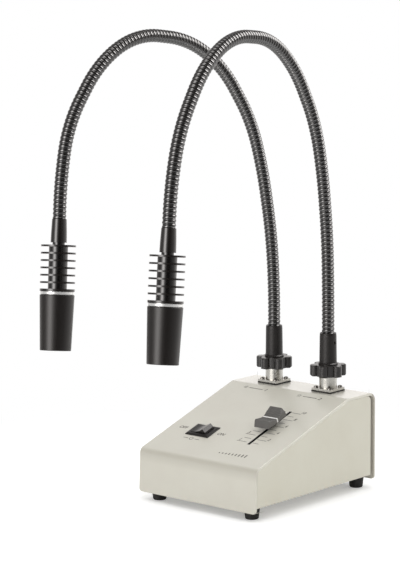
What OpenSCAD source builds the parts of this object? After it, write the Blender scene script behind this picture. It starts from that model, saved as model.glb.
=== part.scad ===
// Dual gooseneck illuminator: a folded sheet-metal control box with an on/off rocker and an
// intensity fader, and two flexible arms that each carry a finned LED head.
// X runs to the right, Y to the back and Z up, in millimetres. The table is at Z = 0.

/* [Control box] */
// Width of the box
box_w = 107; // [100:1:120]
// Depth of the box, front face to rear face
box_d = 135; // [130:1:150]
// Height of the flat top above the table
box_h = 70; // [66:1:80]
// Height of the front edge, where the sloping panel starts
nose_h = 36.8; // [34:0.2:42]
// Depth from the front face to where the sloping panel meets the flat top
desk_d = 102.5; // [100:0.5:104]
// How far the front face leans back
front_lean = 1.4; // [0:0.1:3]
// Gap under the front and rear legs of the cover
leg_gap = 6; // [5:0.5:7]
// Gap under the base tray
tray_gap = 9.7; // [9.2:0.1:11]
// Thickness of the cover sheet
cover_t = 2; // [1.6:0.1:2.2]
// Outer bend radius of the cover sheet, at the front edge and at the top of the slope
bend_r = 4.5; // [4:0.5:5]
// Outer bend radius of the cover sheet at the rear
rear_bend_r = 6.5; // [5:0.5:7]
// Thickness of the tray sheet
tray_t = 1.5; // [1.2:0.1:1.8]

/* [Panel controls] */
// Sideways place of the rocker switch
rocker_x = -23.2; // [-26:0.1:-20]
// Distance of the rocker switch up the sloping panel
rocker_u = 34.8; // [32:0.1:40]
// Tilt of the rocker each side of level
rocker_tilt = 15; // [10:1:16]
// Sideways place of the fader slot
fader_x = 23.4; // [20:0.1:26]
// Distance up the sloping panel of the fader's lowest setting
fader_low_u = 31.3; // [31:0.1:33]
// Travel of the fader
fader_travel = 45; // [40:1:46]
// How far up its travel the fader stands
fader_set = 25; // [5:1:40]

/* [Arm sockets] */
// Sideways distance between the two sockets
socket_pitch = 50; // [44:1:54]
// Distance of the sockets from the front face
socket_d = 116.5; // [115:0.5:118]
// Side of the square socket plate
plate_w = 17.2; // [16.8:0.1:18]
// Diameter of the socket barrel
barrel_dia = 12.7; // [12.5:0.1:12.9]
// Diameter over the lobes of the coupling knob
knob_dia = 26.3; // [25:0.1:28]

/* [Arms] */
// Outer diameter of the neck over its ribs
neck_dia = 9.2; // [8.8:0.1:9.2]
// Length of each hinged stretch of the neck
stretch_len = 85.2; // [80:0.1:88]
// Distance between the ribs of the neck
rib_pitch = 4.3; // [4:0.1:6]
// Diameter of the cooling fins
fin_dia = 23.5; // [22:0.5:25]
// Number of cooling fins
fin_count = 7; // [5:1:7]
// Length of the lamp hood
hood_len = 37.2; // [34:0.2:40]

/* [Hidden] */

$fn = 48;
A = 0;
B = 1;

// Colours, as the photograph shows them
PAINT = [0.82, 0.80, 0.75];
BLACK = [0.14, 0.13, 0.13];
SATIN_BLACK = [0.20, 0.19, 0.19];
CAP_GREY = [0.41, 0.41, 0.40];
METAL = [0.80, 0.80, 0.79];
BRASS = [0.78, 0.66, 0.38];
BOARD_GREEN = [0.10, 0.32, 0.20];
GLASS = [0.85, 0.90, 0.93, 0.5];

// Corners of the cover's outer outline, in depth and height, from the front leg over to the rear leg
front_y = -box_d / 2;
rear_y = box_d / 2;
desk_y = front_y + desk_d;
cover_path = [
    [front_y, leg_gap],
    [front_y + front_lean, nose_h],
    [desk_y, box_h],
    [rear_y, box_h],
    [rear_y, leg_gap],
];
desk_start = cover_path[1];
desk_slope = atan2(box_h - nose_h, desk_y - desk_start.x);
tray_floor = tray_gap + tray_t;
notch_w = 3.5;
notch_d = 3.1;
notch_r = 4;

// Feet and their screws
foot_x = 42.6;
foot_front_y = front_y + 9.7;
foot_rear_y = rear_y - 8.1;
foot_places = [for (x = [-foot_x, foot_x], y = [foot_front_y, foot_rear_y]) [x, y]];
foot_top_r = 5.85;
foot_low_r = 4.8;
foot_edge_r = 0.9;
foot_recess_r = 3.1;
foot_recess_h = 4.4;
foot_screw_r = 1.5;
foot_screw_head_r = 2.8;

// Rear cover screws and the power inlet
rear_screw_x = 44;
rear_screw_z = 40;
rear_screw_r = 1.5;
inlet_x = -20;
inlet_z = 30;
inlet_r = 4;
inlet_lip_r = 5.6;
inlet_lip_t = 1.2;

// Rocker switch
bezel_l = 21;
bezel_w = 15;
bezel_t = 1.2;
switch_l = 19;
switch_w = 13;
switch_depth = 13.5;
well_l = 15.2;
well_w = 9.9;
rocker_w = 9.5;
rocker_pivot_h = -1.4;
rocker_end_r = 7.4;
rocker_edge = [6.2, 4.6];
rocker_sag = 0.9;
rocker_pin_r = 1.2;
rocker_pin_out = 0.9;
pin_play = 0.05;

// Fader
fader_u = fader_low_u + fader_set;
slot_w = 2;
slot_u0 = fader_low_u - 2.25;
slot_u1 = fader_low_u + fader_travel + 2.25;
slot_mid = (slot_u0 + slot_u1) / 2;
lever_l = 4;
lever_t = 1.2;
track_w = 9;
track_h = 6.5;
track_l = 60;
ear_l = 74;
ear_t = 1.2;
stud_off = 34;
stud_r = 1.25;
lever_top = 5.6;
cap_w = 13.2;
cap_gap = 4;
cap_saddle_h = 7;
cap_front = [11, 8.7, 9.2];
cap_rear = [9.8, 8.4, 11];

// Driver board
board = [64, 70, 1.6];
board_at = [0, 4];
spacer_h = 6;
board_z = tray_floor + spacer_h;
board_hole = [28, 31];

// Heights of the arm coupling above the flat top
gasket_t = 1;
plate_t = 1.7;
plate_top = gasket_t + plate_t;
knob_low = 11.45;
knob_h = 8.1;
knob_top = knob_low + knob_h;
knob_rest = [29, -11];
barrel_top = 15.5;
barrel_r = barrel_dia / 2;
barrel_bore_r = 4.5;
barrel_depth = 12;
plug_flange_t = 1.9;
collar_h = 1.4;
collar_r = 7;
sleeve_top = 42.4;
sleeve_low_r = 6.3;
sleeve_high_r = 6.05;
sleeve_rim_r = 5.85;
neck_seat = 30;
sleeve_play = 0.15;
set_screw_h = 35.7;
plate_screw_off = plate_w / 2 - 2.5;

// Places of the sockets
socket_y = front_y + socket_d;
socket_x = [-socket_pitch / 2, socket_pitch / 2];

// Neck: each arm bends in five stretches, one hinge at the end of each
neck_r = neck_dia / 2;
groove_r = neck_r - 0.65;
bore_r = 2.2;
neck_start_h = 49;
lead = 4.6;
stretches = 5;
sides = 8;
ball_r = 3.9;
cup_r = 4.5;
cup_gap = 2.45;
shoulder_back = 3.4;
bore_step = 14;

// Heading of each arm from straight right, then the bend of each half stretch in the arm's own
// plane and the sideways bend of the last stretch, in degrees
arm_heading = [-96, -82.8];
arm_bends = [
    [4.2, 6, 7, 17.4, 22.1, 25.9, 34.7, 27.4, 21.4, 5.9],
    [1.8, 6, 7.5, 18.3, 20.7, 30.5, 33.7, 25.4, 17.8, 9.2],
];
arm_side_bend = [5.5, 2.5];
half_stretch = stretch_len / 2;
half_run = half_stretch - lead;

// Lamp head: distances from its hinge, down the head
head_sleeve_len = 15.7;
head_sleeve_end = cup_gap + head_sleeve_len;
spigot_len = 1.6;
fin_start = head_sleeve_end + spigot_len;
fin_pitch = 4.87;
fin_t = 1.25;
last_fin_t = 1.65;
fin_r = fin_dia / 2;
core_r = 6.4;
fins_end = fin_start + (fin_count - 1) * fin_pitch + last_fin_t;
ring_h = 2.2;
ring_r = 11.25;
hood_start = fins_end + ring_h;
hood_end = hood_start + hood_len;
hood_top_r = 11.65;
hood_low_r = 10.45;
hood_wall = 1.1;
hood_roof = 1.5;
core_end = hood_start + hood_roof + 1.8;
lens_seat = hood_end - 6;
lens_t = 3;
lens_r = hood_low_r - hood_wall;
clip_t = 1.4;

// The whole object's plan box, so that the origin stands under its middle
head_rims = [[fin_r, fin_start], [fin_r, fins_end], [hood_top_r, hood_start], [hood_low_r, hood_end]];

function unit(v) = v / norm(v);
function turned(v, a) = [v.x * cos(a) - v.y * sin(a), v.x * sin(a) + v.y * cos(a)];

// v turned by a degrees about the unit axis k
function spun(v, k, a) = v * cos(a) + cross(k, v) * sin(a) + k * (k * v) * (1 - cos(a));

// A frame is [place, direction of bending, hinge axis, direction along the neck]
function arm_base(arm) =
    let (h = [cos(arm_heading[arm]), sin(arm_heading[arm]), 0])
    [[socket_x[arm], socket_y, box_h + neck_start_h], h, cross([0, 0, 1], h), [0, 0, 1]];

// The frame at distance s past frame f: straight for a while, then round, then straight again
function bent(f, bend, side_bend, straight, s) =
    let (
        k = unit(f[2] * bend - f[1] * side_bend),
        a = norm([bend, side_bend]),
        radius = half_run / (a * PI / 180),
        inward = cross(k, f[3]),
        turn = a * max(0, min(1, (s - straight) / half_run)),
        t = spun(f[3], k, turn),
        over = max(0, s - straight - half_run),
        centre = f[0] + f[3] * straight + inward * radius,
        place = s < straight ? f[0] + f[3] * s : centre - spun(inward, k, turn) * radius + t * over
    )
    [place, spun(f[1], k, turn), spun(f[2], k, turn), t];

// The frame at distance s along stretch i, which starts at frame f and bends in two halves
function along(arm, i, f, s) =
    let (
        side = i == stretches - 1 ? arm_side_bend[arm] / 2 : 0,
        first = arm_bends[arm][2 * i],
        second = arm_bends[arm][2 * i + 1]
    )
    s <= half_stretch
        ? bent(f, first, side, lead, s)
        : bent(bent(f, first, side, lead, half_stretch), second, side, 0, s - half_stretch);

function hinge_frame(arm, i) =
    i == 0 ? arm_base(arm) : along(arm, i - 1, hinge_frame(arm, i - 1), stretch_len);

head_frames = [hinge_frame(A, stretches), hinge_frame(B, stretches)];

// Furthest reach of the heads along a direction, from the rims of their round parts
function head_reach(dir) = max([
    for (f = head_frames, rim = head_rims)
        (f[0] + f[3] * rim[1]) * dir + rim[0] * sqrt(1 - pow(f[3] * dir, 2))
]);
plan_left = -max(box_w / 2, head_reach([-1, 0, 0]));
plan_right = max(box_w / 2, head_reach([1, 0, 0]));
plan_front = -max(box_d / 2, head_reach([0, -1, 0]));
plan_back = rear_y + inlet_lip_t;
origin_shift = [-(plan_left + plan_right) / 2, -(plan_front + plan_back) / 2, 0];
echo(origin_shift = origin_shift);
echo(hinges_a = [for (i = [1:stretches]) hinge_frame(A, i)[0] + origin_shift]);
echo(hinges_b = [for (i = [1:stretches]) hinge_frame(B, i)[0] + origin_shift]);
echo(frame_a = head_frames[A], frame_b = head_frames[B]);

// Arc of radius r at corner b between a and c; inset moves it inwards, for the inner face of the sheet
function corner_arc(a, b, c, r, inset) =
    let (
        d1 = unit(b - a),
        d2 = unit(c - b),
        inward = [d1.y, -d1.x],
        turn = acos(d1 * d2),
        centre = b - d1 * r * tan(turn / 2) + inward * r,
        steps = max(2, ceil(turn / 10))
    )
    [for (k = [0:steps]) centre - turned(inward, -turn * k / steps) * (r - inset)];

// The cover's outline at a depth under its outer face, from the front leg to the rear leg
function cover_line(inset) =
    let (
        p = cover_path,
        rise = unit(p[1] - p[0]),
        run_in = [rise.y, -rise.x]
    )
    concat(
        [p[0] + run_in * inset],
        [for (i = [1:3]) each corner_arc(p[i - 1], p[i], p[i + 1], i == 3 ? rear_bend_r : bend_r, inset)],
        [p[4] - [inset, 0]]
    );

function reversed(list) = [for (i = [len(list) - 1:-1:0]) list[i]];

// Sweeps a side profile, drawn in depth and height, across a width
module across(width) {
    translate([-width / 2, 0, 0])
        rotate([90, 0, 90])
        linear_extrude(width)
        children();
}

module shifted() {
    translate(origin_shift)
        children();
}

// Stands children on the sloping panel: X across, Y up the slope, Z out of the panel
module on_desk(x, u) {
    translate([x, desk_start.x, desk_start.y])
        rotate([desk_slope, 0, 0])
        translate([0, u, 0])
        children();
}

module on_socket(arm) {
    translate([socket_x[arm], socket_y, box_h])
        children();
}

module at_frame(f) {
    multmatrix([
        [f[1].x, f[2].x, f[3].x, f[0].x],
        [f[1].y, f[2].y, f[3].y, f[0].y],
        [f[1].z, f[2].z, f[3].z, f[0].z],
        [0, 0, 0, 1],
    ])
        children();
}

module block(size, low) {
    translate([-size.x / 2, -size.y / 2, low])
        cube(size);
}

module post(r, low, high) {
    translate([0, 0, low])
        cylinder(r = r, h = high - low);
}

module mirrored_x(x) {
    for (side = [-1, 1])
        translate([side * x, 0, 0])
            children();
}

module top_cover() {
    color(PAINT) shifted() {
        difference() {
            across(box_w)
                polygon(concat(cover_line(0), reversed(cover_line(cover_t))));
            on_desk(rocker_x, rocker_u)
                block([switch_l + 0.4, switch_w + 0.4, 20], -10);
            on_desk(fader_x, slot_mid)
                block([slot_w, slot_u1 - slot_u0, 20], -10);
            for (arm = [A, B])
                on_socket(arm) {
                    post(barrel_r + 0.2, -8, 4);
                    plate_corners()
                        post(1, -8, 4);
                }
            rear_holes();
            leg_corner_cuts();
        }
        on_desk(fader_x, slot_mid)
            fader_studs();
    }
}

// Rounds the free lower corners of the front and rear legs
module leg_corner_cuts() {
    corner_r = 2.5;
    for (side = [-1, 1])
        translate([side * box_w / 2, 0, leg_gap])
            rotate([90, 0, 0])
            linear_extrude(box_d + 20, center = true)
            difference() {
                translate([-corner_r, -1])
                    square([2 * corner_r, corner_r + 1]);
                translate([-side * corner_r, corner_r])
                    circle(corner_r);
                translate([side > 0 ? -2 * corner_r : corner_r - 0.001, -1])
                    square([corner_r + 0.001, 2 * corner_r]);
            }
}

module fader_studs() {
    for (side = [-1, 1])
        translate([0, side * stud_off, 0])
            post(stud_r, -cover_t - ear_t - 3.4, -cover_t / 2);
}

module rear_holes() {
    translate([inlet_x, rear_y, inlet_z])
        rotate([90, 0, 0])
        post(inlet_r + 0.1, -5, 10);
    mirrored_x(rear_screw_x)
        translate([0, rear_y, rear_screw_z])
        rotate([90, 0, 0])
        post(rear_screw_r + 0.15, -5, 10);
}

// The tray's plan at a depth inside its outer face: its rear corners step in and leave a deep
// groove at the rear leg
module tray_plan(wall) {
    back = rear_y - cover_t - wall;
    front = front_y + cover_t + front_lean * (1 - (nose_h - tray_gap) / (nose_h - leg_gap)) + wall;
    half = box_w / 2 - wall;
    translate([-half, front])
        square([2 * half, back - notch_d - front]);
    translate([-half + notch_w, back - notch_d - 1])
        square([2 * (half - notch_w), notch_d + 1]);
}

// Rounds the upper rear corners of the side walls, along the bend of the cover
module wall_corner_cuts() {
    corner = [rear_y - cover_t - notch_d - notch_r, box_h - cover_t - notch_r];
    mirrored_x(box_w / 2)
        across(2 * tray_t + 0.2)
        difference() {
            translate(corner)
                square([notch_r + 1, notch_r + 1]);
            translate(corner)
                circle(notch_r);
        }
}

module base_tray() {
    color(PAINT) shifted() {
        difference() {
            intersection() {
                translate([0, 0, tray_gap])
                    linear_extrude(box_h)
                    tray_plan(0);
                across(box_w + 2)
                    polygon(cover_line(cover_t));
            }
            translate([0, 0, tray_floor])
                linear_extrude(box_h)
                tray_plan(tray_t);
            wall_corner_cuts();
            for (p = foot_places)
                translate(p)
                    post(foot_screw_r + 0.1, 0, 20);
            rear_holes();
        }
    }
}

module feet() {
    color(BLACK) shifted()
        for (p = foot_places)
            translate(p)
                rotate_extrude()
                polygon(concat(
                    [[foot_recess_r, 0]],
                    [for (a = [0:30:90])
                        [foot_low_r - foot_edge_r + foot_edge_r * sin(a), foot_edge_r - foot_edge_r * cos(a)]],
                    [
                        [foot_top_r, tray_gap],
                        [foot_screw_r + 0.1, tray_gap],
                        [foot_screw_r + 0.1, foot_recess_h],
                        [foot_recess_r, foot_recess_h],
                    ]
                ));
}

module foot_screws() {
    color(METAL) shifted()
        for (p = foot_places)
            translate(p)
                difference() {
                    union() {
                        post(foot_screw_head_r, foot_recess_h - 2, foot_recess_h);
                        post(foot_screw_r, foot_recess_h - 1, tray_floor + 4);
                    }
                    for (a = [0, 90])
                        rotate(a)
                            block([3.4, 0.8, 2], foot_recess_h - 3.1);
                }
}

module foot_nuts() {
    color(METAL) shifted()
        for (p = foot_places)
            translate([p.x, p.y, tray_floor])
                difference() {
                    cylinder(r = 3.1, h = 2.4, $fn = 6);
                    post(foot_screw_r + 0.03, -1, 4);
                }
}

module rear_screws() {
    color(METAL) shifted()
        mirrored_x(rear_screw_x)
            translate([0, rear_y, rear_screw_z])
            rotate([90, 0, 0])
            difference() {
                union() {
                    post(rear_screw_r, -0.5, 6);
                    rotate_extrude()
                        polygon([[0, 0], [2.8, 0], [2.8, -0.6], [2.2, -1.1], [0, -1.15]]);
                }
                for (a = [0, 90])
                    rotate(a)
                        block([3, 0.7, 1], -1.6);
            }
}

module switch_housing() {
    color(BLACK) shifted()
        on_desk(rocker_x, rocker_u)
            difference() {
                union() {
                    bezel();
                    block([switch_l, switch_w, switch_depth], -switch_depth);
                    mirrored_x(switch_l / 2)
                        block([1, 6, 3], -cover_t - 3.1);
                }
                block([well_l, well_w, 12.2], -11);
                translate([0, 0, rocker_pivot_h])
                    rotate([90, 0, 0])
                    post(rocker_pin_r + pin_play, -well_w / 2 - 1.1, well_w / 2 + 1.1);
                mirrored_x(4.5)
                    block([5, 0.8, 6], -switch_depth - 2);
            }
}

// Frame of the switch: four sides that slope in to a flat top
module bezel() {
    inset = 1.3;
    intersection() {
        rotate([90, 0, 0])
            linear_extrude(bezel_w, center = true)
            polygon([
                [-bezel_l / 2, 0], [bezel_l / 2, 0], [bezel_l / 2, 0.5],
                [bezel_l / 2 - inset, bezel_t], [-bezel_l / 2 + inset, bezel_t], [-bezel_l / 2, 0.5],
            ]);
        rotate([90, 0, 90])
            linear_extrude(bezel_l, center = true)
            polygon([
                [-bezel_w / 2, 0], [bezel_w / 2, 0], [bezel_w / 2, 0.5],
                [bezel_w / 2 - inset, bezel_t], [-bezel_w / 2 + inset, bezel_t], [-bezel_w / 2, 0.5],
            ]);
    }
}

// The rocker is drawn level about its pivot, then tipped to its off side
module switch_rocker() {
    dish_r = (pow(rocker_edge.x, 2) + pow(rocker_sag, 2)) / (2 * rocker_sag);
    foot_a = 52;
    color(BLACK) shifted()
        on_desk(rocker_x, rocker_u)
            translate([0, 0, rocker_pivot_h])
            rotate([90, 0, 0])
            rotate(rocker_tilt) {
                difference() {
                    linear_extrude(rocker_w, center = true)
                        polygon(concat(
                            [for (a = [15:-10:-foot_a]) rocker_end_r * [cos(a), sin(a)]],
                            [for (a = [-180 + foot_a:-10:-195]) rocker_end_r * [cos(a), sin(a)]],
                            [[-rocker_edge.x, rocker_edge.y], [rocker_edge.x, rocker_edge.y]]
                        ));
                    translate([0, rocker_edge.y - rocker_sag + dish_r])
                        cylinder(r = dish_r, h = rocker_w + 2, center = true, $fn = 96);
                }
                cylinder(r = rocker_pin_r, h = rocker_w + 2 * rocker_pin_out, center = true);
            }
}

module switch_terminals() {
    color(BRASS) shifted()
        on_desk(rocker_x, rocker_u)
            mirrored_x(4.5)
            difference() {
                block([4.7, 0.7, 9.5], -switch_depth - 7.5);
                translate([0, 0, -switch_depth - 5.5])
                    rotate([90, 0, 0])
                    post(0.7, -2, 2);
            }
}

module fader_body() {
    top = -cover_t;
    color(METAL) shifted()
        on_desk(fader_x, slot_mid)
            difference() {
                union() {
                    block([track_w, track_l, track_h], top - track_h);
                    block([track_w, ear_l, ear_t], top - ear_t);
                }
                block([slot_w + 0.6, slot_u1 - slot_u0, track_h], top - track_h + 1);
                for (side = [-1, 1])
                    translate([0, side * stud_off, 0])
                        post(stud_r + 0.15, -10, 0);
            }
}

module fader_nuts() {
    color(METAL) shifted()
        on_desk(fader_x, slot_mid)
            for (side = [-1, 1])
                translate([0, side * stud_off, -cover_t - ear_t - 2])
                    difference() {
                        cylinder(r = 2.6, h = 2, $fn = 6);
                        post(stud_r + 0.03, -1, 3);
                    }
}

module fader_lever() {
    color(METAL) shifted()
        on_desk(fader_x, fader_u)
            block([lever_t, lever_l, 5 + cover_t + lever_top], -cover_t - 5);
}

// Ribbed flank of one horn, from the saddle out to the horn's edge and up to its height
function flank(edge, height) = [
    for (k = [0:10])
        let (q = k / 10, rib = k % 2 == 1 ? 0.3 : 0)
        [0.8 + (edge - 1.4) * q, cap_saddle_h + (height - cap_saddle_h) * pow(q, 1.5) - rib]
];

// Saddle-shaped cap: front and rear horn, each given by its foot, its edge and its height, with a
// boss below that holds the lever
module fader_cap() {
    taper_h = 8.2;
    taper = 1.5;
    boss_low = 2.2;
    hollow_h = 1.4;
    half = cap_w / 2;
    color(CAP_GREY) shifted()
        on_desk(fader_x, fader_u)
            difference() {
                union() {
                    intersection() {
                        across(cap_w)
                            polygon(concat(
                                [
                                    [-cap_front[0], cap_gap], [cap_rear[0], cap_gap],
                                    [cap_rear[0], cap_gap + 2.3], [cap_rear[1], cap_rear[2]],
                                ],
                                reversed(flank(cap_rear[1], cap_rear[2])),
                                [for (p = flank(cap_front[1], cap_front[2])) [-p.x, p.y]],
                                [[-cap_front[1], cap_front[2]]]
                            ));
                        rotate([90, 0, 0])
                            linear_extrude(3 * cap_front[0], center = true)
                            polygon([
                                [-half, 0], [half, 0], [half, taper_h], [half - taper, cap_rear[2] + 0.2],
                                [-half + taper, cap_rear[2] + 0.2], [-half, taper_h],
                            ]);
                    }
                    block([lever_t + 2.2, lever_l + 2.4, cap_gap + 1 - boss_low], boss_low);
                }
                block([lever_t + 0.05, lever_l + 0.05, lever_top - boss_low + 0.1], boss_low - 0.1);
                mirrored_x(3.8)
                    block([4, 2 * (cap_rear[0] - 1.5), hollow_h + 0.1], cap_gap - 0.1);
            }
}

module board_corners() {
    for (x = [-1, 1], y = [-1, 1])
        translate([board_at.x + x * board_hole.x, board_at.y + y * board_hole.y, 0])
            children();
}

module driver_board() {
    color(BOARD_GREEN) shifted()
        difference() {
            translate(board_at)
                block(board, board_z);
            board_corners()
                post(1.6, board_z - 1, board_z + 4);
        }
}

// Smoothing capacitors, two coils, a cooled regulator and the three cable headers
module board_parts() {
    top = board_z + board.z;
    color(BLACK) shifted()
        translate([board_at.x, board_at.y, 0]) {
            for (y = [-14, 0])
                translate([-20, y, 0])
                    post(5, top, top + 14);
            for (y = [-10, 10])
                translate([2, y, 0])
                    difference() {
                        post(6, top, top + 6);
                        post(2.5, top - 1, top + 7);
                    }
            translate([20, 0, 0])
                block([3, 16, 14], top);
            for (x = [-16, 0, 16])
                translate([x, 29, 0])
                    block([9, 5, 6], top);
        }
}

module board_spacers() {
    color(METAL) shifted()
        board_corners()
            difference() {
                post(3, tray_floor, board_z);
                post(1.5, tray_floor - 1, board_z + 1);
            }
}

module board_screws() {
    color(METAL) shifted()
        board_corners() {
            post(2.7, board_z + board.z, board_z + board.z + 1.8);
            post(1.45, board_z - 4, board_z + board.z + 0.5);
        }
}

module power_inlet() {
    color(BLACK) shifted()
        translate([inlet_x, rear_y, inlet_z])
            rotate([90, 0, 0])
            difference() {
                union() {
                    post(inlet_lip_r, -inlet_lip_t, 0);
                    post(inlet_r, -0.5, 13);
                }
                post(2.75, -3, 9);
            }
    color(METAL) shifted()
        translate([inlet_x, rear_y, inlet_z])
            rotate([90, 0, 0])
            post(1, 0.5, 9.2);
}

module inlet_nut() {
    color(METAL) shifted()
        translate([inlet_x, rear_y - cover_t - tray_t, inlet_z])
            rotate([90, 0, 0])
            difference() {
                cylinder(r = 6.4, h = 2, $fn = 6);
                post(inlet_r + 0.03, -1, 3);
            }
}

module plate_corners() {
    for (x = [-1, 1], y = [-1, 1])
        translate([x * plate_screw_off, y * plate_screw_off, 0])
            children();
}

module socket_gaskets() {
    color(BLACK) shifted()
        for (arm = [A, B])
            on_socket(arm)
                difference() {
                    block([plate_w, plate_w, gasket_t], 0);
                    post(barrel_r + 0.1, -1, 3);
                    plate_corners()
                        post(1, -1, 3);
                }
}

module socket(arm) {
    color(METAL) shifted()
        on_socket(arm)
            difference() {
                union() {
                    block([plate_w - 0.4, plate_w - 0.4, plate_t], gasket_t);
                    post(barrel_r, -barrel_depth, barrel_top);
                }
                post(barrel_bore_r, -barrel_depth - 1, barrel_top + 1);
                plate_corners()
                    post(1, -1, 4);
            }
}

module socket_screws() {
    color(METAL) shifted()
        for (arm = [A, B])
            on_socket(arm)
                plate_corners()
                difference() {
                    union() {
                        rotate_extrude()
                            polygon([
                                [0, plate_top], [1.75, plate_top], [1.6, plate_top + 0.9], [0.9, plate_top + 1.3],
                                [0, plate_top + 1.35],
                            ]);
                        post(0.95, -5, plate_top + 0.5);
                    }
                    block([4, 0.5, 1], plate_top + 0.8);
                }
}

// Insulating disc at the foot of the barrel, with its one centre contact
module contact_insert(arm) {
    color(BLACK) shifted()
        on_socket(arm)
            difference() {
                post(barrel_bore_r - 0.03, -barrel_depth, -6);
                post(0.8, -barrel_depth - 1, -5);
            }
    color(BRASS) shifted()
        on_socket(arm)
            post(0.78, -barrel_depth - 3, 6);
}

// Six round lobes on a core, chamfered at top and bottom, hollow below to clear the barrel
module coupling_knob(arm) {
    lobe_r = 3.3;
    core_r = 9.7;
    edge = 0.9;
    top_r = knob_dia / 2;
    color(SATIN_BLACK) shifted()
        on_socket(arm)
            difference() {
                intersection() {
                    translate([0, 0, knob_low])
                        linear_extrude(knob_h)
                        union() {
                            circle(core_r);
                            for (a = [0:60:300])
                                rotate(knob_rest[arm] + a)
                                    translate([top_r - lobe_r, 0])
                                    circle(lobe_r);
                        }
                    rotate_extrude()
                        polygon([
                            [0, knob_low], [top_r - edge, knob_low], [top_r, knob_low + edge],
                            [top_r, knob_top - edge], [top_r - 0.3, knob_top - 0.3], [top_r - edge, knob_top],
                            [0, knob_top],
                        ]);
                }
                post(barrel_r + 0.1, knob_low - 1, barrel_top + plug_flange_t + 0.05);
                post(6.05, knob_low, knob_top + 1);
            }
}

// Plug that seats in the barrel, with the flange that the knob draws down
module arm_plug(arm) {
    flange_top = barrel_top + plug_flange_t;
    color(METAL) shifted()
        on_socket(arm)
            difference() {
                union() {
                    post(barrel_bore_r - 0.06, 4, barrel_top + 0.5);
                    post(barrel_r - 0.05, barrel_top, flange_top);
                    post(5.7, flange_top - 0.5, knob_top + 0.1);
                    post(4.4, knob_top, knob_top + 6);
                }
                post(1, 3, 12);
                post(1.6, 11.9, knob_top + 7);
            }
}

// Long sleeve with a flared collar, an open rim round the neck, and a blind seat for it
module base_sleeve(arm) {
    foot = knob_top + 0.1;
    color(SATIN_BLACK) shifted()
        on_socket(arm)
            difference() {
                rotate_extrude()
                    polygon([
                        [0, foot], [collar_r, foot], [collar_r, foot + 0.6], [sleeve_low_r, foot + collar_h],
                        [sleeve_high_r, sleeve_top - 2], [sleeve_rim_r, sleeve_top], [0, sleeve_top],
                    ]);
                post(4.45, foot - 1, knob_top + 6);
                post(bore_r, foot, sleeve_top);
                post(neck_r + sleeve_play, neck_seat, sleeve_top + 1);
                set_screw_axis(arm)
                    post(1.5, 0, 9);
            }
}

// The set screws look outwards, away from the other arm
module set_screw_axis(arm) {
    translate([0, 0, set_screw_h])
        rotate([0, arm == A ? -90 : 90, 0])
        children();
}

module set_screw(arm) {
    color(METAL) shifted()
        on_socket(arm)
            set_screw_axis(arm)
            difference() {
                post(1.47, neck_r + 0.02, sleeve_high_r - 0.25);
                translate([0, 0, sleeve_high_r - 1])
                    cylinder(r = 0.75, h = 2, $fn = 6);
            }
}

// Distance and radius of each ring of a stretch: out over the ribs to the ball, back down the bore
function stretch_rings(i) =
    let (
        start = i == 0 ? neck_seat - neck_start_h : cup_gap,
        rib_start = i == 0 ? sleeve_top - neck_start_h : cup_gap,
        rib_end = stretch_len - shoulder_back,
        ribs = round((rib_end - rib_start) / rib_pitch),
        pitch = (rib_end - rib_start) / ribs,
        bore_start = i == 0 ? start : cup_r * cos(asin(bore_r / cup_r)),
        bore_end = stretch_len + ball_r * cos(asin(bore_r / ball_r)),
        bore_steps = ceil((bore_end - bore_start) / bore_step)
    )
    concat(
        i == 0 ? [[start, neck_r]] : [],
        [[rib_start, neck_r]],
        [for (k = [0:ribs - 1]) each [
            [rib_start + (k + 0.5) * pitch, groove_r],
            [rib_start + (k + 1) * pitch, neck_r],
        ]],
        [for (a = [105, 90, 60]) [stretch_len + ball_r * cos(a), ball_r * sin(a)]],
        [for (k = [bore_steps:-1:0]) [bore_start + (bore_end - bore_start) * k / bore_steps, bore_r]],
        i == 0 ? [] : [for (a = [45, 57]) [cup_r * cos(a), cup_r * sin(a)]]
    );

// One unbroken ribbed tube: eight-sided rings, each joined to the next and the last to the first
module neck(arm, i) {
    f = hinge_frame(arm, i);
    rings = stretch_rings(i);
    count = len(rings);
    points = [
        for (r = rings)
            let (g = along(arm, i, f, r[0]))
            for (k = [0:sides - 1])
                let (a = 360 * (k + 0.5) / sides)
                g[0] + (g[1] * cos(a) + g[2] * sin(a)) * r[1]
    ];
    faces = [
        for (j = [0:count - 1], k = [0:sides - 1])
            let (
                j2 = (j + 1) % count,
                k2 = (k + 1) % sides,
                a = j * sides + k,
                b = j * sides + k2,
                c = j2 * sides + k2,
                d = j2 * sides + k
            )
            each [[a, c, b], [a, d, c]]
    ];
    color(BLACK) shifted()
        polyhedron(points = points, faces = faces, convexity = 8);
}

module head_part(arm) {
    shifted()
        at_frame(head_frames[arm])
        children();
}

module head_sleeve(arm) {
    color(SATIN_BLACK) head_part(arm)
        difference() {
            rotate_extrude()
                polygon([
                    [0, cup_gap], [4.9, cup_gap], [5.3, cup_gap + 9], [5.45, head_sleeve_end], [0, head_sleeve_end],
                ]);
            sphere(r = ball_r + 0.3);
            post(bore_r, 0, head_sleeve_end + 1);
        }
}

module heat_sink(arm) {
    color(BLACK) head_part(arm)
        difference() {
            union() {
                post(4.15, head_sleeve_end, fin_start + 0.5);
                post(core_r, fin_start, core_end);
                for (k = [0:fin_count - 1])
                    post(fin_r, fin_start + k * fin_pitch,
                        fin_start + k * fin_pitch + (k == fin_count - 1 ? last_fin_t : fin_t));
            }
            post(bore_r, head_sleeve_end - 1, core_end - 3);
        }
}

module trim_ring(arm) {
    color(METAL) head_part(arm)
        rotate_extrude()
        polygon([
            [core_r + 0.05, fins_end], [ring_r - 0.3, fins_end], [ring_r, fins_end + 0.3],
            [ring_r, hood_start - 0.3], [ring_r - 0.3, hood_start], [core_r + 0.05, hood_start],
        ]);
}

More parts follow.
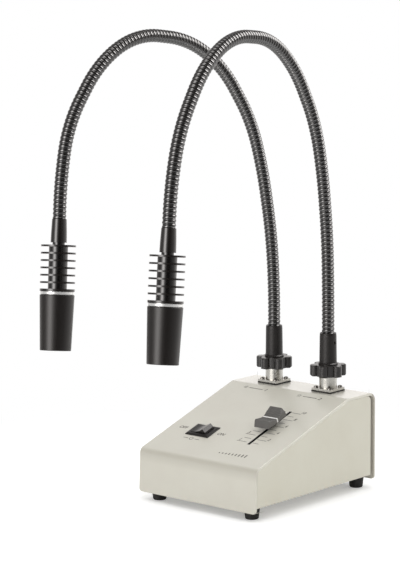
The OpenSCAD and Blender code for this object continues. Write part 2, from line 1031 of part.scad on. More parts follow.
// Aluminium-core disc with its LED
module led_board(arm) {
    top = core_end + 1.2;
    color([0.93, 0.93, 0.90]) head_part(arm) {
        post(8.2, core_end, top);
        translate([0, 0, top])
            intersection() {
                sphere(r = 2.2);
                post(2.5, 0, 3);
            }
    }
}

module hood(arm) {
    color(SATIN_BLACK) head_part(arm)
        rotate_extrude()
        polygon([
            [core_r + 0.05, hood_start],
            [hood_top_r - 0.4, hood_start],
            [hood_top_r, hood_start + 0.4],
            [hood_low_r, hood_end - 0.3],
            [hood_low_r - 0.3, hood_end],
            [lens_r, hood_end],
            [lens_r, lens_seat],
            [lens_r - 0.9, lens_seat],
            [hood_top_r - hood_wall - 0.6, hood_start + hood_roof],
            [core_r + 0.05, hood_start + hood_roof],
        ]);
}

// Flat on the room side, domed towards the LED
module lens(arm) {
    dome = 2.4;
    dome_r = (pow(lens_r - 1.2, 2) + pow(dome, 2)) / (2 * dome);
    color(GLASS) head_part(arm) {
        post(lens_r - 0.05, lens_seat, lens_seat + lens_t);
        intersection() {
            translate([0, 0, lens_seat + 0.1 - dome + dome_r])
                sphere(r = dome_r, $fn = 96);
            post(lens_r - 1.2, lens_seat - dome - 1, lens_seat + 0.2);
        }
    }
}

module lens_clip(arm) {
    color(BLACK) head_part(arm)
        difference() {
            post(lens_r - 0.05, lens_seat + lens_t, lens_seat + lens_t + clip_t);
            post(lens_r - 0.9, lens_seat, hood_end);
        }
}

top_cover();
base_tray();
feet();
foot_screws();
foot_nuts();
rear_screws();
switch_housing();
switch_rocker();
switch_terminals();
fader_body();
fader_nuts();
fader_lever();
fader_cap();
driver_board();
board_parts();
board_spacers();
board_screws();
power_inlet();
inlet_nut();
socket_gaskets();
socket(A);  // socket_a
socket(B);  // socket_b
socket_screws();
contact_insert(A);  // contact_insert_a
contact_insert(B);  // contact_insert_b
coupling_knob(A);  // coupling_knob_a
arm_plug(A);  // arm_plug_a
base_sleeve(A);  // base_sleeve_a
set_screw(A);  // set_screw_a
neck(A, 0);  // neck_a_1
neck(A, 1);  // neck_a_2
neck(A, 2);  // neck_a_3
neck(A, 3);  // neck_a_4
neck(A, 4);  // neck_a_5
head_sleeve(A);  // head_sleeve_a
heat_sink(A);  // heat_sink_a
trim_ring(A);  // trim_ring_a
led_board(A);  // led_board_a
hood(A);  // hood_a
lens(A);  // lens_a
lens_clip(A);  // lens_clip_a
coupling_knob(B);  // coupling_knob_b
arm_plug(B);  // arm_plug_b
base_sleeve(B);  // base_sleeve_b
set_screw(B);  // set_screw_b
neck(B, 0);  // neck_b_1
neck(B, 1);  // neck_b_2
neck(B, 2);  // neck_b_3
neck(B, 3);  // neck_b_4
neck(B, 4);  // neck_b_5
head_sleeve(B);  // head_sleeve_b
heat_sink(B);  // heat_sink_b
trim_ring(B);  // trim_ring_b
led_board(B);  // led_board_b
hood(B);  // hood_b
lens(B);  // lens_b
lens_clip(B);  // lens_clip_b
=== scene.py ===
# %% [markdown]
# # A dual gooseneck lamp, dressed step by step
# The real object is a folded steel box with a switch and a fader on its sloping panel. Two wound
# metal necks plug into its top, and each of them carries a finned lamp head.
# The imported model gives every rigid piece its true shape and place, so this lesson never moves
# one of them. It adds the finishes, the wound wire of the necks and the printing on the panel.

# %% Open the frame
import math

import bmesh
import bpy
import numpy as np
from mathutils import Matrix, Quaternion, Vector


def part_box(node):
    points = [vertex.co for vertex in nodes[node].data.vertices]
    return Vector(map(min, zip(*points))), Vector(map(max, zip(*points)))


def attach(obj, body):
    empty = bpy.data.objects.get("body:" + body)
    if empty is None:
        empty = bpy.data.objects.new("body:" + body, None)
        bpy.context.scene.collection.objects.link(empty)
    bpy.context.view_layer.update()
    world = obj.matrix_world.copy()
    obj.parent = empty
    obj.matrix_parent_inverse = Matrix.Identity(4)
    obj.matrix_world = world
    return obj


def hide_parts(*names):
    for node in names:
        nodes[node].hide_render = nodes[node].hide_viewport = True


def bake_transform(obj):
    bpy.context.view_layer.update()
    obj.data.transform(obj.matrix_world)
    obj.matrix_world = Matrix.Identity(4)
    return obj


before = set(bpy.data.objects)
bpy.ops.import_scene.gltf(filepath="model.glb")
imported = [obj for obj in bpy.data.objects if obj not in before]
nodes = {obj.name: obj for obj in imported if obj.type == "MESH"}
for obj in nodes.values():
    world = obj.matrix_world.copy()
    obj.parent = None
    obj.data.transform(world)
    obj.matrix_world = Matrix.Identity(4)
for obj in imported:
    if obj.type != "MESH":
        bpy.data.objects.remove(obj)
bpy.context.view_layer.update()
MM = 0.001

# %% [markdown]
# ## Where things are on the box
# The printing has to lie on the sloping panel, so the panel's own directions come first. They
# could be typed in as angles, but the cover's corners in the frame already say where the box is,
# and three sizes say how its front folds. The box stands a little off the middle of the whole
# lamp, because the heads hang out over its front.

# %% Box and panel directions
cover_low, cover_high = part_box("top_cover")
box_x = (cover_low.x + cover_high.x) / 2
front_y = cover_low.y
rear_y = cover_high.y
top_z = cover_high.z
NOSE_H = 36.8 * MM
DESK_D = 102.5 * MM
FRONT_LEAN = 1.4 * MM
panel_foot = Vector((box_x, front_y + FRONT_LEAN, NOSE_H))
panel_head = Vector((box_x, front_y + DESK_D, top_z))
up_panel = (panel_head - panel_foot).normalized()
across = Vector((1, 0, 0))
out_of_panel = across.cross(up_panel)


def on_panel(x, u, h=0.0):
    """Point x to the right of the middle, u up the slope and h above it, all in millimetres."""
    return panel_foot + (across * x + up_panel * u + out_of_panel * h) * MM


print("panel slope:", round(math.degrees(math.asin(up_panel.z)), 2), "degrees")

# %% [markdown]
# ## The camera
# The photograph was taken from the right front, a little above the lamp, with a long lens. A
# camera could be aimed at a target, but three angles in the order of a tripod, pan, tilt and a
# slight roll, can be fitted one by one.

# %% Set up the camera
CAMERA_PLACE = Vector((1.05664, -1.22209, 0.41720))
CAMERA_PAN = math.radians(41.201)
CAMERA_TILT = math.radians(9.031)
CAMERA_ROLL = math.radians(-0.418)
PICTURE_HEIGHT_PX = 564
FOCUS_PX = 2384.08
camera_data = bpy.data.cameras.new("camera")
camera_data.sensor_width = 36
camera_data.lens = FOCUS_PX / PICTURE_HEIGHT_PX * camera_data.sensor_width
camera = bpy.data.objects.new("camera", camera_data)
bpy.context.scene.collection.objects.link(camera)
camera.matrix_world = (
    Matrix.Translation(CAMERA_PLACE)
    @ Matrix.Rotation(CAMERA_PAN, 4, "Z")
    @ Matrix.Rotation(math.pi / 2 - CAMERA_TILT, 4, "X")
    @ Matrix.Rotation(CAMERA_ROLL, 4, "Z")
)
bpy.context.scene.camera = camera
bpy.context.scene.view_settings.view_transform = "Standard"
print("lens:", round(camera_data.lens, 1), "mm")

# %% [markdown]
# ## Helpers for node trees
# Light and finishes are both graphs of nodes, which get long when every link has a line of its
# own. A few helpers keep them readable. They read colours as a screen shows them, add a node,
# fill its inputs, do sums, mix colours or shaders, and map one range of numbers onto another.

# %% Colours and nodes
def srgb(red, green, blue):
    """A colour as read off a screen, 0 to 255, as the linear value that the shaders want."""
    channels = []
    for value in (red, green, blue):
        share = value / 255
        channels.append(share / 12.92 if share <= 0.04045 else ((share + 0.055) / 1.055) ** 2.4)
    return (*channels, 1.0)


def add_node(tree, kind, **settings):
    """A new node of that kind; settings are its own properties."""
    node = tree.nodes.new("ShaderNode" + kind)
    for name, value in settings.items():
        setattr(node, name, value)
    return node


def feed(tree, value, socket):
    """Fills an input from another node's output, or with a plain number or colour."""
    if hasattr(value, "is_linked"):
        tree.links.new(value, socket)
    else:
        socket.default_value = value


print("white as a linear colour:", srgb(255, 255, 255))

# %% Sums and mixtures
def maths(tree, operation, first, second=None):
    """The result of a Math node on sockets or plain numbers."""
    node = add_node(tree, "Math", operation=operation)
    feed(tree, first, node.inputs[0])
    if second is not None:
        feed(tree, second, node.inputs[1])
    return node.outputs[0]


def mix_colours(tree, mask, first, second):
    """Blends two colours by a mask; each may be a colour or a socket."""
    node = add_node(tree, "Mix", data_type="RGBA")
    tree.links.new(mask, node.inputs["Factor"])
    feed(tree, first, node.inputs[6])
    feed(tree, second, node.inputs[7])
    return node.outputs[2]


def mix_shaders(tree, share, first, second):
    """Blends two shaders by the share of the second one."""
    node = add_node(tree, "MixShader")
    for slot, output in enumerate((share, first, second)):
        tree.links.new(output, node.inputs[slot])
    return node.outputs[0]


def map_range(tree, value, low, high, to_low=0.0, to_high=1.0, curve="LINEAR"):
    """Maps a value that runs from low to high onto another range, and holds it at both ends."""
    node = add_node(tree, "MapRange", interpolation_type=curve)
    node.inputs["From Min"].default_value = low
    node.inputs["From Max"].default_value = high
    node.inputs["To Min"].default_value = to_low
    node.inputs["To Max"].default_value = to_high
    tree.links.new(value, node.inputs["Value"])
    return node.outputs["Result"]


print("node helpers ready")

# %% [markdown]
# ## Walls of the light tent
# Black gloss has hardly any colour of its own and shows what it mirrors, so its highlights need
# something to mirror. White cards round the lamp would do, but they would light the paint too.
# Here the world has walls that only reflections see: a bright strip on the left that draws the
# long highlights, a dark side where the camera stands and a dim back. They are ramps over the
# compass direction, one for the low wall and one for the high wall, under a dark roof.

# %% Directions and brightness of the walls
TOWARDS_CAMERA = Vector((math.sin(CAMERA_PAN), -math.cos(CAMERA_PAN), 0))
TO_THE_RIGHT = Vector((math.cos(CAMERA_PAN), math.sin(CAMERA_PAN), 0))
WALL_BRIGHTEST = 8.0
WALL_TINT = (1.0, 0.97, 0.95)
ROOF_SHADE = 0.18
LOW_WALL = [
    (-180, 1.3), (-130, 0.75), (-104, 0.35), (-80, 0.45), (-64, 1.4), (-53, 4.8), (-43, 6.2),
    (-33, 4.8), (-22, 1.2), (-8, 0.25), (5, 0.05), (20, 0.04), (35, 0.10), (50, 0.22),
    (65, 0.34), (82, 0.5), (100, 0.85), (120, 1.2), (150, 1.3), (180, 1.3),
]
HIGH_WALL = [
    (-180, 0.6), (-130, 0.3), (-104, 0.2), (-80, 0.25), (-64, 0.6), (-53, 1.6), (-43, 2.0),
    (-33, 1.6), (-22, 0.5), (-8, 0.15), (5, 0.08), (20, 0.06), (50, 0.12), (82, 0.3),
    (100, 0.5), (138, 0.7), (180, 0.6),
]
world = bpy.data.worlds.new("light tent")
bpy.context.scene.world = world
world.use_nodes = True
sky = world.node_tree
sky.nodes.clear()
direction = add_node(sky, "TexCoord").outputs["Generated"]
shares = []
for way in (TO_THE_RIGHT, TOWARDS_CAMERA):
    share = add_node(sky, "VectorMath", operation="DOT_PRODUCT")
    share.inputs[1].default_value = way
    sky.links.new(direction, share.inputs[0])
    shares.append(share.outputs["Value"])
turn = maths(sky, "ARCTAN2", *shares)
place_on_wall = maths(sky, "ADD", maths(sky, "DIVIDE", turn, 2 * math.pi), 0.5)
print("wall stops:", len(LOW_WALL), len(HIGH_WALL))

# %% Stack the walls
FLOOR_TO_LOW = (-0.85, -0.60)
LOW_TO_HIGH = (0.28, 0.44)
HIGH_TO_ROOF = (0.76, 0.90)


def wall_colour(brightness):
    """The walls' tint at a brightness, as a share of the brightest one."""
    return (*(brightness / WALL_BRIGHTEST * channel for channel in WALL_TINT), 1)


def wall_light(stops):
    """Brightness round the tent from stops of degrees and brightness, 0 towards the camera."""
    node = add_node(sky, "ValToRGB")
    ramp = node.color_ramp
    ramp.interpolation = "EASE"
    while len(ramp.elements) < len(stops):
        ramp.elements.new(1.0)
    for stop, (degrees, brightness) in zip(ramp.elements, stops):
        stop.position = (degrees + 180) / 360
        stop.color = wall_colour(brightness)
    sky.links.new(place_on_wall, node.inputs[0])
    return node.outputs["Color"]


def blend_up(value, zone, below, above):
    """Turns from one colour to another as a value rises through a zone."""
    share = map_range(sky, value, *zone, curve="SMOOTHSTEP")
    return mix_colours(sky, share, below, above)


height = add_node(sky, "SeparateXYZ")
sky.links.new(direction, height.inputs[0])
rise = height.outputs["Z"]
walls = blend_up(rise, LOW_TO_HIGH, wall_light(LOW_WALL), wall_light(HIGH_WALL))
walls = blend_up(rise, HIGH_TO_ROOF, walls, wall_colour(ROOF_SHADE))
walls = blend_up(rise, FLOOR_TO_LOW, wall_colour(ROOF_SHADE), walls)
print("zones of height:", FLOOR_TO_LOW, LOW_TO_HIGH, HIGH_TO_ROOF)

# %% [markdown]
# ## What each kind of ray sees
# One world does three jobs. Rays that light the lamp see an even, neutral tent, rays that come
# from a mirror or through glass see the walls, and the camera sees plain white. A picture of a
# studio could stand here instead, but it would be a file to carry along.

# %% World
TENT_STRENGTH = 0.92
WHITE = (1, 1, 1, 1)


def background(colour, strength):
    """A background of one colour, or of the colours of a socket."""
    node = add_node(sky, "Background")
    feed(sky, colour, node.inputs["Color"])
    node.inputs["Strength"].default_value = strength
    return node.outputs[0]


rays = add_node(sky, "LightPath").outputs
in_mirror = maths(sky, "MAXIMUM", rays["Is Glossy Ray"], rays["Is Transmission Ray"])
tent = background(WHITE, TENT_STRENGTH)
seen = mix_shaders(sky, in_mirror, tent, background(walls, WALL_BRIGHTEST))
seen = mix_shaders(sky, rays["Is Camera Ray"], seen, background(WHITE, 1.0))
sky.links.new(seen, add_node(sky, "OutputWorld").inputs[0])
print("world nodes:", len(sky.nodes))

# %% [markdown]
# ## The overhead lamp
# The top of the box is its brightest face, so a wide soft lamp hangs over it. A small lamp would
# cast a hard shadow that the real light doesn't. Mirrors don't see this one, because its square
# would show on every glossy face.

# %% Overhead lamp
OVERHEAD_PLACE = (0.10, -0.10, 1.25)
OVERHEAD_SIZE = (1.5, 1.5)
OVERHEAD_WATTS = 4.2
BOX_MIDDLE = (0, 0, 0.05)


def soft_box(name, place, size, watts, aim):
    """A rectangular soft lamp at place, in metres, that faces the point aim."""
    data = bpy.data.lights.new(name, "AREA")
    data.shape = "RECTANGLE"
    data.size, data.size_y = size
    data.energy = watts
    lamp = bpy.data.objects.new(name, data)
    lamp.location = place
    lamp.rotation_mode = "QUATERNION"
    lamp.rotation_quaternion = (Vector(aim) - Vector(place)).to_track_quat("-Z", "Y")
    lamp.visible_camera = False
    bpy.context.scene.collection.objects.link(lamp)
    return lamp


overhead = soft_box("overhead", OVERHEAD_PLACE, OVERHEAD_SIZE, OVERHEAD_WATTS, BOX_MIDDLE)
overhead.visible_glossy = False
print("lamp:", overhead.name, overhead.data.energy, "W")

# %% [markdown]
# ## The window
# Each turn of wire at the top of the necks carries a bead of light from a window high on the
# right. The walls' ramps are too soft for such a small bright patch, so the window is a lamp
# that shows in reflections only and leaves the paint alone.

# %% Window
CROWN = Vector((0.0, 0.03, 0.33))
WINDOW_TURN = math.radians(100)
WINDOW_AWAY = 0.5
WINDOW_RISE = 0.34
WINDOW_SIZE = (0.58, 0.44)
WINDOW_WATTS = 5.6
window_way = TO_THE_RIGHT * math.sin(WINDOW_TURN) + TOWARDS_CAMERA * math.cos(WINDOW_TURN)
window_place = CROWN + window_way * WINDOW_AWAY + Vector((0, 0, WINDOW_RISE))
window = soft_box("window", window_place, WINDOW_SIZE, WINDOW_WATTS, CROWN)
window.visible_diffuse = False
window.data.color = WALL_TINT
print("lamp:", window.name, window.data.energy, "W")

# %% [markdown]
# ## The paper
# The lamp stands on white paper, with a soft shadow round its feet that fades to plain white. A
# sheet that glows all over would lose the shadow, and a sheet that is only lit would look grey.
# So the near paper is lit, with a little glow for the camera. Further out it is plain white for
# the camera, and up to a certain distance for mirrors too, and open to all other light.

# %% Sheet of paper
FLOOR_SIZE = 12.0
half = FLOOR_SIZE / 2
floor_mesh = bpy.data.meshes.new("paper")
floor_mesh.from_pydata(
    [(-half, -half, 0), (half, -half, 0), (half, half, 0), (-half, half, 0)], [], [(0, 1, 2, 3)]
)
floor = bpy.data.objects.new("paper", floor_mesh)
bpy.context.scene.collection.objects.link(floor)
print("paper floor:", FLOOR_SIZE, "m wide")

# %% Paper that fades to white
PAPER_COLOUR = (0.93, 0.93, 0.925, 1)
SHADOW_NEAR = 0.16
SHADOW_FAR = 0.34
SHADOW_LIFT = 0.27
MIRROR_NEAR = 0.46
MIRROR_FAR = 0.60
paper = bpy.data.materials.new("paper")
paper.use_nodes = True
tree = paper.node_tree
tree.nodes.clear()
rays = add_node(tree, "LightPath").outputs
from_middle = add_node(tree, "VectorMath", operation="LENGTH")
tree.links.new(add_node(tree, "TexCoord").outputs["Object"], from_middle.inputs[0])
away = from_middle.outputs["Value"]
lit = add_node(tree, "BsdfDiffuse")
lit.inputs["Color"].default_value = PAPER_COLOUR
lift = add_node(tree, "Emission")
lift_strength = maths(tree, "MULTIPLY", rays["Is Camera Ray"], SHADOW_LIFT)
tree.links.new(lift_strength, lift.inputs["Strength"])
near = add_node(tree, "AddShader")
tree.links.new(lit.outputs[0], near.inputs[0])
tree.links.new(lift.outputs[0], near.inputs[1])
mirror_share = map_range(tree, away, MIRROR_FAR, MIRROR_NEAR, curve="SMOOTHSTEP")
mirrored = maths(tree, "MULTIPLY", rays["Is Glossy Ray"], mirror_share)
beyond = mix_shaders(
    tree,
    maths(tree, "MAXIMUM", rays["Is Camera Ray"], mirrored),
    add_node(tree, "BsdfTransparent").outputs[0],
    add_node(tree, "Emission").outputs[0],
)
spread = map_range(tree, away, SHADOW_NEAR, SHADOW_FAR, curve="SMOOTHSTEP")
surface = mix_shaders(tree, spread, near.outputs[0], beyond)
tree.links.new(surface, add_node(tree, "OutputMaterial").inputs[0])
floor_mesh.materials.append(paper)
print("shadow fades from", SHADOW_NEAR, "to", SHADOW_FAR, "m")

# %% [markdown]
# ## Shared effects
# Some effects come back on many finishes: a pebbled skin, the rings of a lathe, cloudy tone,
# dust, and the place on the panel. Each could be built again in every material, but as a node
# group it is built once and placed with its own values. A group only hands out heights, masks
# and places. The Principled shader stays in each material, where an exporter can read it.

# %% Helpers for effect groups
def new_group(name, inputs, outputs):
    """An empty shader group with float or vector inputs, and its two end nodes."""
    group = bpy.data.node_groups.new(name, "ShaderNodeTree")
    for label, value in inputs.items():
        kind = "NodeSocketVector" if isinstance(value, tuple) else "NodeSocketFloat"
        socket = group.interface.new_socket(label, in_out="INPUT", socket_type=kind)
        socket.default_value = value
    for label in outputs:
        group.interface.new_socket(label, in_out="OUTPUT", socket_type="NodeSocketFloat")
    return group, group.nodes.new("NodeGroupInput"), group.nodes.new("NodeGroupOutput")


def scaled_place(group, divisor):
    """Place on the piece divided by a size in millimetres, as a vector socket."""
    metres = add_node(group, "TexCoord").outputs["Object"]
    cells = add_node(group, "VectorMath", operation="SCALE")
    group.links.new(metres, cells.inputs[0])
    group.links.new(maths(group, "DIVIDE", 1000.0, divisor), cells.inputs["Scale"])
    return cells.outputs[0]


def noise(group, place, detail):
    """Soft noise over scaled places, one cell wide."""
    node = add_node(group, "TexNoise")
    node.inputs["Scale"].default_value = 1.0
    node.inputs["Detail"].default_value = detail
    group.links.new(place, node.inputs["Vector"])
    return node.outputs["Fac"]


print("group helpers ready")

# %% [markdown]
# ### Pebbled skin
# Powder paint and moulded plastic are covered in soft pebbles. A sculpted surface would need
# millions of faces, and a pattern of round cells looks like leather. Noise at the pebbles' real
# size has their soft rise and fall. The group gives that height, and a crisper mask of specks.

# %% Pebbled skin
SPECKS = (0.35, 0.65)
pebbles, ends_in, ends_out = new_group("pebbled skin", {"Size mm": 0.6}, ["Height", "Specks"])
fine = noise(pebbles, scaled_place(pebbles, ends_in.outputs["Size mm"]), 2.0)
pebbles.links.new(fine, ends_out.inputs["Height"])
pebbles.links.new(map_range(pebbles, fine, *SPECKS), ends_out.inputs["Specks"])
print("effect:", pebbles.name)

# %% [markdown]
# ### Lathe rings
# A turning tool leaves fine rings about the axis of its piece. Even waves would look like a
# thread, so a noise that only changes along the axis makes rings of uneven depth.

# %% Lathe rings
rings, ends_in, ends_out = new_group(
    "lathe rings", {"Pitch mm": 0.12, "Axis": (0.0, 0.0, 1.0)}, ["Height", "Streaks"]
)
along_axis = add_node(rings, "VectorMath", operation="DOT_PRODUCT")
rings.links.new(scaled_place(rings, ends_in.outputs["Pitch mm"]), along_axis.inputs[0])
rings.links.new(ends_in.outputs["Axis"], along_axis.inputs[1])
cuts = add_node(rings, "TexNoise", noise_dimensions="1D")
cuts.inputs["Scale"].default_value = 1.0
cuts.inputs["Detail"].default_value = 3.0
rings.links.new(along_axis.outputs["Value"], cuts.inputs["W"])
rings.links.new(cuts.outputs["Fac"], ends_out.inputs["Height"])
rings.links.new(cuts.outputs["Fac"], ends_out.inputs["Streaks"])
print("effect:", rings.name)

# %% [markdown]
# ### Clouds
# No real face has one colour all over. A painted mask would need unwrapped meshes, while a coarse
# noise drifts between two close colours on any piece.

# %% Clouds
clouds, ends_in, ends_out = new_group("clouds", {"Size mm": 18.0}, ["Mask"])
cloud = noise(clouds, scaled_place(clouds, ends_in.outputs["Size mm"]), 4.0)
clouds.links.new(cloud, ends_out.inputs["Mask"])
print("effect:", clouds.name)

# %% [markdown]
# ### Dust
# Dust settles on faces that look up. Grains of their own would be far too many, so a mask takes
# how far a face looks up and breaks it with a fine noise.

# %% Dust on faces that look up
DUST_GRAIN_MM = 2.5
LOOKS_UP = (0.35, 1.0)
dust, ends_in, ends_out = new_group("dust", {"Amount": 0.2}, ["Mask"])
facing = add_node(dust, "SeparateXYZ")
dust.links.new(add_node(dust, "NewGeometry").outputs["Normal"], facing.inputs[0])
upward = map_range(dust, facing.outputs["Z"], *LOOKS_UP)
grains = noise(dust, scaled_place(dust, DUST_GRAIN_MM), 6.0)
settled = maths(dust, "MULTIPLY", upward, grains)
settled = maths(dust, "MULTIPLY", settled, ends_in.outputs["Amount"])
dust.links.new(settled, ends_out.inputs["Mask"])
print("effect:", dust.name)

# %% [markdown]
# ### Place on the panel
# The edge of the fader slot, the fold and the line on the fader's cap lie at known places. They
# could be painted on the meshes. Measured from the panel's foot instead, in millimetres across,
# up and out, they stay sharp at any size.

# %% Place on the panel
panel_place, ends_in, ends_out = new_group("panel place", {}, ["Across", "Up", "Out"])
from_foot = add_node(panel_place, "VectorMath", operation="SUBTRACT")
panel_place.links.new(
    add_node(panel_place, "TexCoord").outputs["Object"], from_foot.inputs[0]
)
from_foot.inputs[1].default_value = panel_foot
for label, way in (("Across", across), ("Up", up_panel), ("Out", out_of_panel)):
    part = add_node(panel_place, "VectorMath", operation="DOT_PRODUCT")
    panel_place.links.new(from_foot.outputs[0], part.inputs[0])
    part.inputs[1].default_value = way / MM
    panel_place.links.new(part.outputs["Value"], ends_out.inputs[label])
print("effect:", panel_place.name)

# %% [markdown]
# ## How a finish is put together
# Each finish is one Principled shader. A single colour would be simpler, but it looks like a
# drawing. So two close colours are mixed by a mask, and one or two heights go through a Bump
# node, whose distance is a real depth. Fixed values such as a coat or an index sit on the
# shader's own sockets.

# %% A finish and its effects
finishes = {}


def new_finish(name, **sockets):
    """A material with its Principled shader; sockets are given as Coat_Weight=0.5 and so on."""
    material = bpy.data.materials.new(name)
    material.use_nodes = True
    shader = material.node_tree.nodes["Principled BSDF"]
    for label, value in sockets.items():
        shader.inputs[label.replace("_", " ")].default_value = value
    finishes[name] = material
    return material.node_tree, shader


def effect(tree, group, **values):
    """A copy of a shared effect in this material, with its own values."""
    node = add_node(tree, "Group", node_tree=group)
    for label, value in values.items():
        node.inputs[label.replace("_", " ")].default_value = value
    return node


def bump(tree, shader, height, depth_mm, before=None):
    """Raises the surface by a height; depth_mm is how deep the real texture is."""
    node = add_node(tree, "Bump")
    node.inputs["Distance"].default_value = depth_mm * MM
    tree.links.new(height, node.inputs["Height"])
    if before is not None:
        tree.links.new(before.outputs["Normal"], node.inputs["Normal"])
    tree.links.new(node.outputs["Normal"], shader.inputs["Normal"])
    return node


print("finish helpers ready")

# %% Masks and tones
NOISE_SPAN = (0.3, 0.7)


def span(tree, mask, low, high):
    """Stretches the usual reach of a noise to run from low to high."""
    return map_range(tree, mask, *NOISE_SPAN, low, high)


def within(tree, value, low, high, soft=0.1):
    """Mask that is 1 where a value lies between low and high, with soft edges."""
    off = maths(tree, "ABSOLUTE", maths(tree, "SUBTRACT", value, (low + high) / 2))
    reach = (high - low) / 2
    return map_range(tree, off, reach - soft / 2, reach + soft / 2, 1.0, 0.0)


def cloudy(tree, size_mm, first, second):
    """Drifts between two close colours, in clouds of a size."""
    drift = effect(tree, clouds, Size_mm=size_mm)
    return mix_colours(tree, span(tree, drift.outputs["Mask"], 0.0, 1.0), first, second)


print("noise is read from", *NOISE_SPAN)

# %% [markdown]
# ## Paint on the folded steel
# The box is powder coated in a warm off-white with a half-gloss skin: a clear coat over a duller
# base, with pebbles about half a millimetre wide that break up the highlights. Shade is painted
# into the paint as well: a darker band along the fold, black inside the fader slot and on its rim,
# darker side edges on the rear leg and dark grooves at the tray's rear corners. These could be
# loose strips, but as masks at their measured places they are part of the paint.

# %% Masks of painted shade on the paint
FADER_X = 23.4
SLOT_HALF = 1.0
SLOT_FROM = 29.3
SLOT_TO = 78.3
SLOT_SIDE_RIM = 0.25
SLOT_END_RIM = 0.3
SLOT_DEPTHS = (-4.0, 0.3)
FOLD_SHADE = (-2.0, 1.6)
CORNER_STEP = (-5.3, 1.0)
LEG_EDGE = (-4.0, -0.5)
LEG_EDGE_SHOWN = (-0.5, 1.0)


def slot_mask(tree):
    """Mask of painted shade inside the fader slot and on a thin rim round it."""
    place = effect(tree, panel_place).outputs
    reach = SLOT_HALF + SLOT_SIDE_RIM
    beside = within(tree, place["Across"], FADER_X - reach, FADER_X + reach)
    length = within(tree, place["Up"], SLOT_FROM - SLOT_END_RIM, SLOT_TO + SLOT_END_RIM)
    depth = within(tree, place["Out"], *SLOT_DEPTHS)
    return maths(tree, "MULTIPLY", maths(tree, "MULTIPLY", beside, length), depth)


def fold_mask(tree):
    """Mask of the folded front edge, where shade is painted into the paint as a darker band."""
    return within(tree, effect(tree, panel_place).outputs["Up"], *FOLD_SHADE, 2.4)


def from_rear(tree):
    """Place along the depth of the box, in millimetres from its rear face, negative inside."""
    place = add_node(tree, "SeparateXYZ")
    tree.links.new(add_node(tree, "TexCoord").outputs["Object"], place.inputs[0])
    y = maths(tree, "DIVIDE", place.outputs["Y"], MM)
    return maths(tree, "SUBTRACT", y, rear_y / MM)


def corner_mask(tree):
    """Mask of painted shade in the groove at the tray's stepped rear corners."""
    return within(tree, from_rear(tree), *CORNER_STEP, 0.5)


def leg_edge_mask(tree):
    """Mask of painted shade on the cut side edges of the cover's rear leg."""
    side = (cover_high.x - cover_low.x) / 2 / MM
    beside = maths(tree, "ABSOLUTE", effect(tree, panel_place).outputs["Across"])
    at_side = within(tree, beside, side + LEG_EDGE_SHOWN[0], side + LEG_EDGE_SHOWN[1], 0.2)
    return maths(tree, "MULTIPLY", within(tree, from_rear(tree), *LEG_EDGE, 0.4), at_side)


print("slot from", SLOT_FROM, "to", SLOT_TO, "mm up the panel")

# %% Powder paint
def powder_paint(name, light, shade, places):
    """Warm half-gloss powder paint; places are pairs of a mask's maker and the colour of the shade
    painted there.
    """
    tree, shader = new_finish(name, Coat_Weight=1.0, Coat_Roughness=0.18)
    skin = effect(tree, pebbles, Size_mm=0.55)
    tone = cloudy(tree, 26.0, light, shade)
    film = effect(tree, dust, Amount=0.25)
    tone = mix_colours(tree, film.outputs["Mask"], tone, srgb(214, 212, 206))
    # Each place mixes in the darker colour of its painted shade.
    for mask, colour in places:
        tone = mix_colours(tree, mask(tree), tone, colour)
    tree.links.new(tone, shader.inputs["Base Color"])
    tree.links.new(span(tree, skin.outputs["Specks"], 0.38, 0.48), shader.inputs["Roughness"])
    bump(tree, shader, skin.outputs["Height"], 0.006)


powder_paint("paint", srgb(213, 210, 197), srgb(209, 205, 192), [
    # painted shade: a darker band along the fold
    (fold_mask, srgb(195, 191, 178)),
    # painted shade on the rear leg's side edges
    (leg_edge_mask, srgb(164, 158, 143)),
    # painted shade: black inside the fader slot and on its rim
    (slot_mask, srgb(22, 20, 19)),
])
powder_paint("paint_tray", srgb(206, 203, 187), srgb(202, 198, 181), [
    # painted shade in the tray's rear corner grooves
    (corner_mask, srgb(112, 104, 95)),
])
print("paints:", sorted(finishes))

# %% [markdown]
# ## Anodised black
# The sleeves, fins and hoods are turned aluminium, anodised black. Blacks only look real beside
# each other when they differ: the hoods are blasted and nearly matt, the fins mirror the tent,
# and the sleeves are the dullest. Three separate materials would repeat each other, so one maker
# takes the values that differ. A second bump lays the grain of the blasting over the rings.

# %% Anodised black
def anodised(name, axis, roughness, gloss, ring_depth_mm, grain_mm, grain_depth_mm):
    """Black with fine rings about the axis of the turned piece, and a grain over them."""
    tree, shader = new_finish(name, IOR=gloss)
    marks = effect(tree, rings, Pitch_mm=0.16, Axis=tuple(axis))
    skin = effect(tree, pebbles, Size_mm=grain_mm)
    tone = mix_colours(tree, marks.outputs["Streaks"], srgb(19, 15, 13), srgb(28, 24, 22))
    tree.links.new(tone, shader.inputs["Base Color"])
    tree.links.new(
        span(tree, marks.outputs["Streaks"], roughness - 0.03, roughness + 0.04),
        shader.inputs["Roughness"],
    )
    first = bump(tree, shader, marks.outputs["Height"], ring_depth_mm)
    bump(tree, shader, skin.outputs["Height"], grain_depth_mm, before=first)


def middle_of(node_name):
    """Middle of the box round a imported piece."""
    low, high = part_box(node_name)
    return (low + high) / 2


